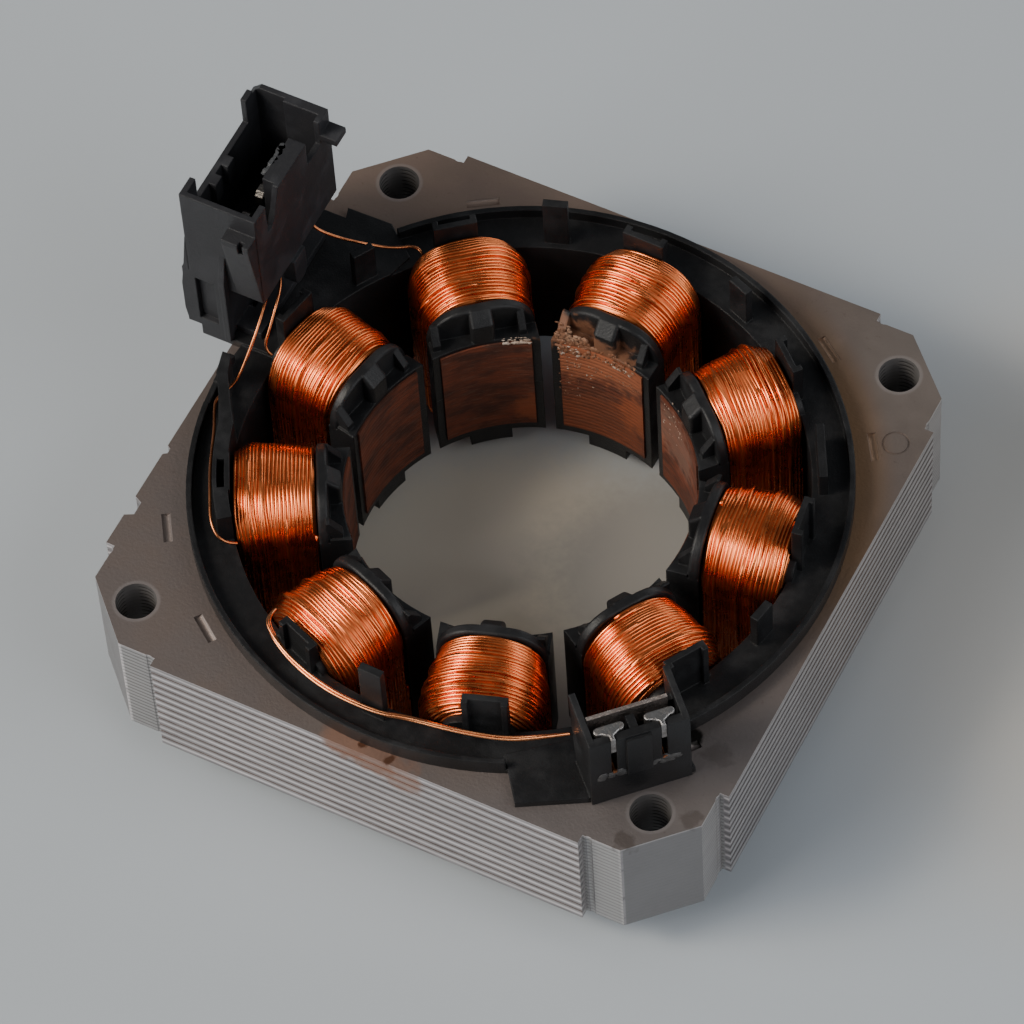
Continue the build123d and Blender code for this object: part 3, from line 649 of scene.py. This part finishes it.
class Coil:
    """The frame of one coil: its pole's direction, its length and its own unevenness."""

    def __init__(self, number):
        self.number = number
        self.outward, self.across = directions(tooth_angles[number - 1])
        self.inner, self.outer = node_span("coil_%d" % number, self.outward)
        self.steps = turn_steps()
        self.wire = settings().winding.wire_diameter / MM
        self.waviness = settings().winding.waviness / MM

    def sway(self, turn, angle, layer):
        """Smooth unevenness of a turn at an angle round it, between -1 and 1."""
        seed = Vector((7.3 * self.number + 3.1 * layer, 0.0, 0.0))
        here = Vector((0.24 * turn, 1.5 * cos(angle), 1.5 * sin(angle)))
        fine = Vector((0.9 * turn, 2.3 * cos(angle), 2.3 * sin(angle)))
        return 2.0 * noise.noise(here + seed) + 0.35 * noise.noise(fine + seed)

    def point(self, reach, side, level):
        return reach * self.outward + side * self.across + np.array((0, 0, level))

    def line(self, turns, first_step, steps, reach, inset, sway=1.0, layer=0):
        """Centres and normals of a wire from a turn, after some steps of the way round, and its direction."""
        total = len(self.steps)
        points, normals = [], []
        for step in range(steps + 1):
            way = (first_step + step) % total
            turn = turns[0] + (turns[1] - turns[0]) * step / steps
            place = reach(turn) + self.waviness * sway * self.sway(turn, 2 * pi * way / total, layer)
            rise, half_width = outline_at((place - self.inner) / (self.outer - self.inner))
            depth = inset(turn, step / steps) + self.wire / 2
            depth += 0.4 * self.waviness * sway * self.sway(turn + 40, 2 * pi * way / total, layer)
            corner = max(coil_corner - depth, least_coil_corner)
            x, z = rounded_corner(self.steps[way], half_width - depth, stack_middle + rise - depth, corner)
            limit = sqrt((ring_inner_radius - ring_gap) ** 2 - min(abs(x), ring_follow) ** 2) - self.wire / 2
            flat_end = self.outer - self.wire / 2
            if limit < flat_end:
                place = self.inner + (place - self.inner) * (limit - self.inner) / (flat_end - self.inner)
            level = max(stack_middle + z, cad_box[0].z / MM + self.wire / 2)
            points.append(self.point(place, x, level))
            normals.append(self.point(0, *polar(1, self.steps[way][2])))
        return np.array(points), np.array(normals), self.outward


def band_faces(first, second, count):
    """Faces between two rings of points, each known by its first point."""
    return [(first + side, first + (side + 1) % count, second + (side + 1) % count, second + side)
            for side in range(count)]


def wire_mesh(lines, radius):
    """Points and faces of round wires along lines with normals, all about one direction."""
    points, faces = [], []
    sweep = np.linspace(0, 2 * pi, wire_sides, endpoint=False)
    for centres, normals, outward in lines:
        start = sum(len(block) for block in points)
        rings = (centres[:, None, :] + radius * (np.cos(sweep)[None, :, None] * normals[:, None, :]
                                                 + np.sin(sweep)[None, :, None] * outward[None, None, :]))
        points.append(rings.reshape(-1, 3))
        last = start + (len(centres) - 1) * wire_sides
        for first in range(start, last, wire_sides):
            faces += band_faces(first, first + wire_sides, wire_sides)
        faces.append(tuple(start + side for side in reversed(range(wire_sides))))
        faces.append(tuple(last + side for side in range(wire_sides)))
    return np.concatenate(points), faces


def core_mesh(coil):
    """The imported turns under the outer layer, as one closed ring."""
    total = len(coil.steps)
    near = coil.inner + core_inset
    core_length = coil.outer - coil.inner - coil.wire * 1.4
    rings = []
    for ring in range(core_rings):
        reach = near + core_length * ring / (core_rings - 1)
        centres, _, _ = coil.line((0, 0), 0, total - 1, lambda _: reach, lambda *_: core_depth - coil.wire / 2, 0.0)
        rings.append(centres)
    for reach in (near + core_length, near):
        hole = [rounded_corner(way, sleeve_half_width, stack_height / 2 + saddle_rise, sleeve_corner)
                for way in coil.steps]
        rings.append(np.array([coil.point(reach, x, stack_middle + z) for x, z in hole]))
    faces = []
    for ring in range(len(rings)):
        faces += band_faces(ring * total, (ring + 1) % len(rings) * total, total)
    return np.concatenate(rings), faces


def wind(number, material):
    """One winding: an outer layer of turns, layers that show at its end, and loose strands on top."""
    coil = Coil(number)
    chance = random.Random(100 + number)
    total = len(coil.steps)
    wire = coil.wire
    length = coil.outer - coil.inner - wire
    turns = int(length / wire)
    pitch = length / turns

    def reach(turn):
        return coil.inner + wire / 2 + turn * pitch

    lines = [coil.line((0, turns), chance.randrange(total), turns * total, reach, lambda *_: 0.0)]
    # Layers that show on the outer end
    layer_step = layer_step_in_wires * wire
    layers = int((coil_outline[-1][2] - sleeve_half_width) / layer_step)
    for layer in range(1, layers + 1):
        place = turns - 0.25 * (layer % 2)
        lines.append(coil.line((place, place), chance.randrange(total), total, reach, lambda *_: layer * layer_step,
                               sway=0.5, layer=layer))
    # Strands that ride over their neighbours
    loose = settings().winding.loose_strands + (untidy_strands if number in untidy_coils else 0)
    for strand in range(loose):
        start = chance.uniform(1.0, turns - 3.0)
        drift = chance.uniform(-strand_drift, strand_drift)
        steps = int(total * chance.uniform(0.35, 0.8))
        lift = chance.uniform(0.35, 0.75) * wire
        end = min(max(start + drift, 0.6), turns - 0.6)

        def inset(_, share, lift=lift):
            dive = max(0.0, 1 - 10 * share, 1 - 10 * (1 - share))
            return -lift * min(1.0, 5 * share, 5 * (1 - share)) + 1.1 * wire * dive

        lines.append(coil.line((start, end), chance.randrange(total), steps, reach, inset, 0.9, 20 + strand))
    points, faces = wire_mesh(lines, wire / 2)
    core_points, core_faces = core_mesh(coil)
    faces += [tuple(len(points) + corner for corner in face) for face in core_faces]
    data = smooth_mesh("winding_%d" % number, np.concatenate((points, core_points)), faces)
    add_piece("winding_%d" % number, data, ["coil_%d" % number], material)


def to_contact(number, x):
    """The end of a lead, level and straight into a contact."""
    return [square_point(side, contacts_y[number], contact_rise) for side in (x, contact_side)]


# Leads: the routes of the CAD wires, as control points in millimetres
lead_routes = {
    "lead_coil_1": [coil_point(1, 30.25, 4.4, 2.6), coil_point(1, 31.35, 4.5, 2.9), round_point(32.2, 142.0, 3.2),
                    round_point(33.5, 146.4, 4.2), square_point(-29.9, 16.8, 6.2), square_point(-32.2, 15.4, 8.4),
                    *to_contact(2, -34.0)],
    "lead_coil_8": [*round_points((30.65, -139.2, 1.7), (32.2, -138.9, 2.6), (33.0, -142.4, 3.5), (32.65, -148.0, 4.0),
                                  (32.62, -154.5, 3.9), (32.7, -160.0, 3.5), (33.0, -164.5, 2.9), (33.75, -169.0, 2.6),
                                  (33.95, -171.2, 2.7), (32.5, -174.8, 3.2)),
                    square_point(-31.95, -0.9, 5.4), square_point(-31.9, 3.0, 8.4), *to_contact(0, -33.4)],
    "lead_coil_9": [coil_point(9, 30.25, 4.2, 3.4), coil_point(9, 31.25, 4.4, 3.9), square_point(-31.35, 3.4, 6.0),
                    square_point(-31.9, 8.0, contact_rise), square_point(-34.0, 9.3, contact_rise),
                    *to_contact(1, -34.7)],
}
front_route = [coil_point(7, 30.25, -4.2, 3.9), coil_point(7, 31.65, -4.1, 3.8),
               *round_points((32.6, -115.0, 3.5), (33.0, -108.5, 3.1), (33.2, -99.5, 3.0), (32.9, -89.3, 2.8),
                             (32.3, -84.8, 3.0), (32.6, -75.0, 3.2), (33.3, -66.0, 3.4), (33.6, -60.5, 4.0),
                             (34.2, -54.4, 5.1))]


def route_curve(name, points, radius):
    """A smooth wire through control points."""
    curve = bpy.data.curves.new(name, "CURVE")
    curve.dimensions = "3D"
    spline = curve.splines.new("NURBS")
    spline.points.add(len(points) - 1)
    for control, point in zip(spline.points, points):
        control.co = (*(Vector(point) * MM), 1)
    spline.order_u = 3
    spline.use_endpoint_u = True
    spline.resolution_u = 10
    curve.bevel_depth = radius * MM
    curve.bevel_resolution = 3
    curve.use_fill_caps = True
    return curve


def strand_routes():
    """The strands of the front lead, twisted loosely about its route."""
    chance = random.Random(5)
    strands = []
    for strand in range(front_strands):
        turn = 2 * pi * strand / front_strands
        route = []
        for step, point in enumerate(front_route):
            angle = turn + 0.55 * step + chance.uniform(-0.3, 0.3)
            here = Vector(point)
            outward = Vector((here.x, here.y, 0)).normalized()
            if 0 < step < len(front_route) - 1:
                here += front_strand_reach * (cos(angle) * outward + sin(angle) * UP)
            route.append(tuple(here))
        strands.append(route)
    return strands


# Terminals of the small pocket

pocket_outward, pocket_across = directions(pocket_angle)


def pocket_place(reach, side, level):
    return turned_point(pocket_angle, reach, side, level)


def shape_terminal(number, material):
    """A T of folded plate: a bar with swollen ends and a stem that fills the slot."""
    name = "pocket_terminal_%d" % number
    near, far = node_span(name, pocket_outward)
    low_side, high_side = node_span(name, pocket_across)
    low, high = node_span(name, UP)
    middle = (low_side + high_side) / 2
    half_bar = (high_side - low_side) / 2
    bar_reach = near + round_end
    web_reach = bar_reach + round_end
    outline = []
    for start, side in ((0, middle + half_bar - round_end), (180, middle - half_bar + round_end)):
        for angle in range(start, start + 181, 30):
            out, over = polar(round_end, angle)
            outline.append((bar_reach + out, side + over))
    outline += [(web_reach, middle - half_web), (web_reach + web_taper, middle - half_stem),
                (far, middle - half_stem), (far, middle + half_stem),
                (web_reach + web_taper, middle + half_stem), (web_reach, middle + half_web)]
    work = bmesh.new()
    corners = [work.verts.new(Vector(pocket_place(reach, side, low)) * MM) for reach, side in outline]
    base = work.faces.new(corners)
    grown = bmesh.ops.extrude_face_region(work, geom=[base])
    raised = [item for item in grown["geom"] if isinstance(item, bmesh.types.BMVert)]
    bmesh.ops.translate(work, verts=raised, vec=(0, 0, (high - low) * MM))
    bmesh.ops.recalc_face_normals(work, faces=work.faces)
    rim = [edge for edge in work.edges if all(vert in raised for vert in edge.verts)]
    bmesh.ops.bevel(work, geom=rim, offset=soft_edge * MM, segments=3, affect="EDGES", profile=0.5)
    add_piece("folded_terminal_%d" % number, mesh_of(name, work), [name], material)


# Melted edges, crumbs and burr


def add_lump(work, lump, seed, detail, roughness, fineness):
    """A rough lump of a centre and a half size along three directions of a local frame."""
    centre, size, frame_at = lump
    made = bmesh.ops.create_icosphere(work, subdivisions=detail, radius=1.0)
    for vert in made["verts"]:
        bulge = 1 + roughness * noise.noise(vert.co * fineness + Vector((seed, 0, 0)))
        local = [middle + along * half * bulge for middle, along, half in zip(centre, vert.co, size)]
        vert.co = Vector(frame_at(*local)) * MM


def shape_scars(material):
    """Pale melted edges under the two wire ends, on the front of the pocket."""
    for number in (1, 2):
        wire = "pocket_wire_%d" % number
        face = node_span(wire, pocket_outward)[1] - 0.1
        side = sum(node_span(wire, pocket_across)) / 2
        level = sum(node_span(wire, UP)) / 2
        chance = random.Random(40 + number)
        work = bmesh.new()
        for blob in range(scar_blobs):
            centre = (face - 0.1, side + chance.uniform(-1.5, 1.5), level - 0.4 + chance.uniform(-0.5, 0.3))
            size = (0.24, chance.uniform(0.45, 0.8), chance.uniform(0.28, 0.5))
            add_lump(work, (centre, size, pocket_place), number * 5 + blob, 2, 0.35, 2.1)
        for item in work.faces:
            item.smooth = True
        name = "pocket_scar_%d" % number
        add_piece(name, mesh_of(name, work), (), material)


def lump_piece(name, lumps, material):
    """One piece of many rough lumps."""
    work = bmesh.new()
    for number, lump in enumerate(lumps):
        add_lump(work, lump, 3.7 * number, 1, 0.6, 1.7)
    add_piece(name, mesh_of(name, work), (), material)


# Patches of crumbs: the angle of the middle, the half width, the lowest and highest rise, the count and the size
rust_patches = (
    (tooth_angles[1] + 11.0, 5.5, -1.2, 1.8, 80, 0.36), (tooth_angles[1] - 3.0, 9.0, -0.8, 0.9, 60, 0.3),
    (tooth_angles[1], 14.0, -3.6, -2.6, 34, 0.17), (tooth_angles[1] + 12.0, 4.0, -9.0, -1.0, 30, 0.15),
    (tooth_angles[1] + 14.0, 2.6, 1.5, 3.9, 26, 0.26))
pale_patches = (
    (tooth_angles[0] - 10.5, 4.4, -0.15, 0.4, 60, 0.26), (tooth_angles[1] + 11.0, 4.5, -1.6, 0.4, 22, 0.24),
    (tooth_angles[1] - 6.0, 5.0, -1.1, -0.4, 16, 0.2), (tooth_angles[1] + 8.0, 6.0, -9.0, -2.0, 14, 0.14),
    (tooth_angles[2] + 8.0, 6.0, -6.0, 1.0, 30, 0.15))


def debris_lumps(patches, seed):
    """Crumbs on the upper flanges and on the faces of the poles."""
    chance = random.Random(seed)
    lumps = []
    for middle, half, low, high, count, size in patches:
        for _ in range(count):
            angle = middle + half * chance.uniform(-1, 1)
            level = stack_height + chance.uniform(low, high)
            radius = bore_radius + (0.28 if level > stack_height else 0.02)
            half_size = [size * chance.uniform(0.5, 1.2) for _ in range(3)]
            half_size[0] *= 0.5

            def frame_at(out, round_about, up, angle=angle, radius=radius, level=level):
                return (*polar(radius + out, angle + round_about / bore_radius * 180 / pi), level + up)

            lumps.append(((0, 0, 0), half_size, frame_at))
    return lumps


def burr_lumps():
    """A torn burr along the inner top edge of the plug housing's wall."""
    chance = random.Random(31)
    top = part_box("connector_housing")[1].z / MM
    lumps = []
    for lump in range(burr_count):
        place = (burr_x + chance.uniform(-0.14, 0.14), burr_start + burr_length * lump / (burr_count - 1),
                 top + chance.uniform(-0.3, 0.0))
        size = (chance.uniform(0.25, 0.5), chance.uniform(0.3, 0.55), chance.uniform(0.18, 0.4))
        lumps.append((place, size, lambda x, y, z: (x, y, min(z, top))))
    return lumps


# Settings that a user would change


def colour_setting(name, description, default):
    return FloatVectorProperty(name=name, description=description, default=default, subtype="COLOR")


def number_setting(name, description, default, unit="NONE"):
    return FloatProperty(name=name, description=description, default=default, unit=unit)


class WindingSettings(bpy.types.PropertyGroup):
    wire_diameter: number_setting("Wire", "Diameter of the wire with its enamel", 0.4 * MM, "LENGTH")
    waviness: number_setting("Waviness", "How far a turn strays from its place", 0.11 * MM, "LENGTH")
    loose_strands: IntProperty(name="Loose strands", description="Strands that ride over their neighbours",
                               default=8)
    bright_copper: colour_setting("Bright copper", "Colour of clean enamelled copper", (0.9, 0.245, 0.08))
    burnt_copper: colour_setting("Burnt copper", "Colour of darkened enamel", (0.68, 0.17, 0.055))


class SteelSettings(bpy.types.PropertyGroup):
    plate_colour: colour_setting("Plate", "Colour of the upper sheet", (0.225, 0.188, 0.175))
    plate_dark: colour_setting("Plate, dark", "Darker patches of the upper sheet", (0.185, 0.148, 0.133))
    plate_back: colour_setting("Plate, back", "Brown tint of the upper sheet at the back", (0.272, 0.194, 0.153))
    edge_colour: colour_setting("Edges", "Colour of the cut edges of the sheets", (0.80, 0.75, 0.755))
    edge_dark: colour_setting("Edges, dark", "Colour of the duller edges", (0.60, 0.56, 0.56))
    rust_colour: colour_setting("Rust", "Colour of light rust", (0.155, 0.036, 0.014))
    rust_dark: colour_setting("Rust, dark", "Colour of dark rust", (0.055, 0.017, 0.009))


class PlasticSettings(bpy.types.PropertyGroup):
    colour: colour_setting("Plastic", "Colour of the black mouldings", (0.009, 0.009, 0.0098))
    worn_colour: colour_setting("Worn plastic", "Colour of rubbed plastic", (0.017, 0.0172, 0.0185))


class StageSettings(bpy.types.PropertyGroup):
    floor_colour: colour_setting("Floor", "Colour of the plain floor", (0.404, 0.435, 0.468))
    key_power: number_setting("Key light", "Power of the soft key light", 13.3, "POWER")
    fill_power: number_setting("Fill light", "Power of the fill light", 6.9, "POWER")
    window_power: number_setting("Window light", "Power of the small light that the copper shows", 3.6, "POWER")
    back_power: number_setting("Back light", "Power of the low light behind the stator", 2.6, "POWER")
    room_light: number_setting("Room light", "Strength of the light from all round", 0.14)


class StatorSettings(bpy.types.PropertyGroup):
    winding: PointerProperty(type=WindingSettings, name="Winding", description="Wire and copper")
    steel: PointerProperty(type=SteelSettings, name="Steel", description="Finish of the stack")
    plastic: PointerProperty(type=PlasticSettings, name="Plastic", description="Finish of the mouldings")
    stage: PointerProperty(type=StageSettings, name="Stage", description="Floor and light")


# Operators


class STATOR_OT_masks(bpy.types.Operator):
    """Build the shader groups that the materials share"""

    bl_idname = "stator.masks"
    bl_label = "Shared masks"

    def execute(self, context):
        make_blotches()
        make_spot()
        make_dust()
        return {"FINISHED"}


class STATOR_OT_windings(bpy.types.Operator):
    """Wind the nine coils with real turns"""

    bl_idname = "stator.windings"
    bl_label = "Windings"

    def execute(self, context):
        winding = settings().winding
        copper = make_copper("enamelled_copper", winding.bright_copper, winding.burnt_copper)
        for number in range(1, slot_count + 1):
            wind(number, copper)
        return {"FINISHED"}


class STATOR_OT_leads(bpy.types.Operator):
    """Run the leads from the coils to the plug housing and to the pocket"""

    bl_idname = "stator.leads"
    bl_label = "Leads"

    def execute(self, context):
        copper = make_copper("lead_copper", (0.52, 0.19, 0.082), (0.3, 0.1, 0.042))
        for name, route in lead_routes.items():
            curve = route_curve(name + "_wire", route, lead_radius)
            add_piece(name + "_wire", curve, [name], copper)
        copper = make_copper("front_copper", (0.73, 0.29, 0.13), (0.56, 0.2, 0.085))
        for number, route in enumerate(strand_routes(), start=1):
            name = "front_strand_%d" % number
            curve = route_curve(name, route, front_strand_radius)
            add_piece(name, curve, ["lead_front"] if number == 1 else (), copper)
        return {"FINISHED"}


class STATOR_OT_stack(bpy.types.Operator):
    """Finish the lamination stack"""

    bl_idname = "stator.stack"
    bl_label = "Lamination stack"

    def execute(self, context):
        dress(make_steel("lamination_steel"), "lamination_stack")
        return {"FINISHED"}


class STATOR_OT_mouldings(bpy.types.Operator):
    """Finish the insulators and the plug housing"""

    bl_idname = "stator.mouldings"
    bl_label = "Black mouldings"

    def execute(self, context):
        plastic = settings().plastic
        tan = (0.2, 0.09, 0.05)
        second = tooth_angles[1]
        rusty = [(tan, round_point(19.2, second + angle, rise), reach, 1.1)
                 for angle, rise, reach in ((15.0, 1.6, 2.6), (9.0, 1.2, 2.6), (2.0, 0.8, 2.2), (-6.0, 0.5, 1.9))]
        ring = make_plastic("insulator_plastic", plastic.colour, plastic.worn_colour, 0.03, rusty)
        housing = make_plastic("housing_plastic", (0.02, 0.02, 0.0225), (0.033, 0.0335, 0.0375), 0.05)
        dress(ring, "upper_insulator", "lower_insulator")
        dress(housing, "connector_housing")
        return {"FINISHED"}


class STATOR_OT_terminals(bpy.types.Operator):
    """Finish the contacts and shape the small terminals"""

    bl_idname = "stator.terminals"
    bl_label = "Terminals"

    def execute(self, context):
        bright = make_tin("bright_tin", (0.39, 0.375, 0.365), (0.24, 0.22, 0.21), (0.34, 0.5), 0.02)
        dull = make_tin("dull_tin", (0.31, 0.27, 0.25), (0.18, 0.15, 0.14), (0.45, 0.7), 0.05)
        contact = make_tin("contact_tin", (0.27, 0.25, 0.232), (0.17, 0.15, 0.14), (0.34, 0.5), 0.02)
        dress(contact, "phase_terminal_1", "phase_terminal_2", "phase_terminal_3")
        for number in (1, 2):
            shape_terminal(number, bright)
        dress(bpy.data.materials["front_copper"], "pocket_wire_1", "pocket_wire_2")
        dress(dull, "pocket_link")
        scar = make_plastic("scarred_plastic", (0.05, 0.048, 0.048), (0.085, 0.08, 0.077), 0.2)
        shape_scars(scar)
        return {"FINISHED"}


class STATOR_OT_crumbs(bpy.types.Operator):
    """Scatter rust crumbs on the poles and leave the torn burr on the plug housing"""

    bl_idname = "stator.crumbs"
    bl_label = "Crumbs and burr"

    def execute(self, context):
        crumbs = make_plastic("rust_crumbs", (0.2, 0.082, 0.042), (0.38, 0.23, 0.15), 0.2)
        lump_piece("pole_crumbs", debris_lumps(rust_patches, 77), crumbs)
        pale = make_plastic("pale_crumbs", (0.42, 0.31, 0.24), (0.62, 0.54, 0.48), 0.2)
        lump_piece("pale_pole_crumbs", debris_lumps(pale_patches, 78), pale)
        torn = make_plastic("torn_plastic", (0.05, 0.052, 0.056), (0.085, 0.087, 0.092), 0.1)
        lump_piece("housing_burr", burr_lumps(), torn)
        return {"FINISHED"}


class STATOR_OT_stage(bpy.types.Operator):
    """Set the floor, the lights and the camera"""

    bl_idname = "stator.stage"
    bl_label = "Stage"

    def execute(self, context):
        set_floor()
        set_lights()
        set_camera()
        return {"FINISHED"}


def set_floor():
    """A pale floor that the lowest coils stand on, with painted light and shade at its right and in the bore."""
    stage = settings().stage
    level = cad_box[0].z
    data = bpy.data.meshes.new("floor")
    corners = ((-1, -1), (1, -1), (1, 1), (-1, 1))
    data.from_pydata([(x * floor_half_size, y * floor_half_size, level) for x, y in corners], [], [(0, 1, 2, 3)])
    floor = new_object("floor", data)
    material, tree, shader = new_material("floor_paint", Roughness=0.6, Specular_IOR_Level=0.25)
    patches = blotches(tree, 0.004, 2.0, 0.3, 0.7)
    darker = [0.94 * value for value in stage.floor_colour]
    colour = blend_colour(patches, stage.floor_colour, darker)
    # Painted light and shade: a warmer shade at the right, a lighter floor in the bore, a darker shade at the bore's
    # right
    for tint, x, y, reach in painted_floor_light_and_shade:
        colour = blend_colour(spot(tree, (x, y, level / MM), reach, 1.0), colour, tint)
    feed(shader, Base_Color=colour)
    data.materials.append(material)


def add_light(name, place, size, power, colour):
    """A square area light that faces the origin, from a place in metres."""
    lamp = bpy.data.lights.new(name, "AREA")
    lamp.size = size
    lamp.energy = power
    lamp.color = colour
    holder = new_object(name, lamp)
    holder.location = place
    holder.rotation_euler = (-Vector(place)).to_track_quat("-Z", "Y").to_euler()


def set_lights():
    stage = settings().stage
    add_light("key_light", (-0.66, -0.66, 0.66), 0.9, stage.key_power, (1.0, 0.985, 0.96))
    add_light("fill_light", (0.92, -0.1, 0.62), 0.9, stage.fill_power, (0.96, 0.98, 1.0))
    add_light("window_light", (-0.5, -0.42, 0.62), 0.22, stage.window_power, (1.0, 0.89, 0.72))
    add_light("back_light", (0.25, 1.05, 0.36), 0.7, stage.back_power, (0.97, 0.985, 1.0))
    world = bpy.data.worlds.new("room")
    world.use_nodes = True
    background = world.node_tree.nodes["Background"]
    background.inputs["Color"].default_value = (0.86, 0.93, 1.0, 1)
    background.inputs["Strength"].default_value = stage.room_light
    bpy.context.scene.world = world


def set_camera():
    """The photograph's camera, turned about its own axis by the roll."""
    azimuth, elevation, roll = (radians(value) for value in (camera_azimuth, camera_elevation, camera_roll))
    ahead = Vector((-sin(azimuth) * cos(elevation), cos(azimuth) * cos(elevation), -sin(elevation)))
    level_right = Vector((cos(azimuth), sin(azimuth), 0))
    level_down = ahead.cross(level_right)
    right = cos(roll) * level_right + sin(roll) * level_down
    down = ahead.cross(right)
    lens = bpy.data.cameras.new("photo_camera")
    lens.angle = 2 * atan(photo_pixels / 2 / focal_pixels)
    lens.clip_start = 0.01
    camera = new_object("photo_camera", lens)
    turn = Matrix((right, -down, -ahead)).transposed()
    camera.matrix_world = Matrix.Translation(Vector(camera_place) * MM) @ turn.to_4x4()
    bpy.context.scene.camera = camera


# Order in which the pieces are made
steps = (STATOR_OT_masks, STATOR_OT_windings, STATOR_OT_leads, STATOR_OT_stack, STATOR_OT_mouldings,
         STATOR_OT_terminals, STATOR_OT_crumbs, STATOR_OT_stage)


class STATOR_PT_finish(bpy.types.Panel):
    """Sizes, colours and steps of the stator's finish"""

    bl_idname = "STATOR_PT_finish"
    bl_label = "Wound stator"
    bl_space_type = "VIEW_3D"
    bl_region_type = "UI"
    bl_category = "Stator"

    def draw(self, context):
        chosen = settings()
        for part in (chosen.winding, chosen.steel, chosen.plastic, chosen.stage):
            box = self.layout.box()
            for name in part.__annotations__:
                box.prop(part, name)
        for step in steps:
            self.layout.operator(step.bl_idname)


classes = (WindingSettings, SteelSettings, PlasticSettings, StageSettings, StatorSettings, *steps, STATOR_PT_finish)


def register():
    for item in classes:
        bpy.utils.register_class(item)
    bpy.types.Scene.stator_finish = PointerProperty(type=StatorSettings)


def unregister():
    del bpy.types.Scene.stator_finish
    for item in reversed(classes):
        bpy.utils.unregister_class(item)


def main():
    register()
    for step in steps:
        family, action = step.bl_idname.split(".")
        getattr(getattr(bpy.ops, family), action)()


if __name__ == "__main__":
    main()
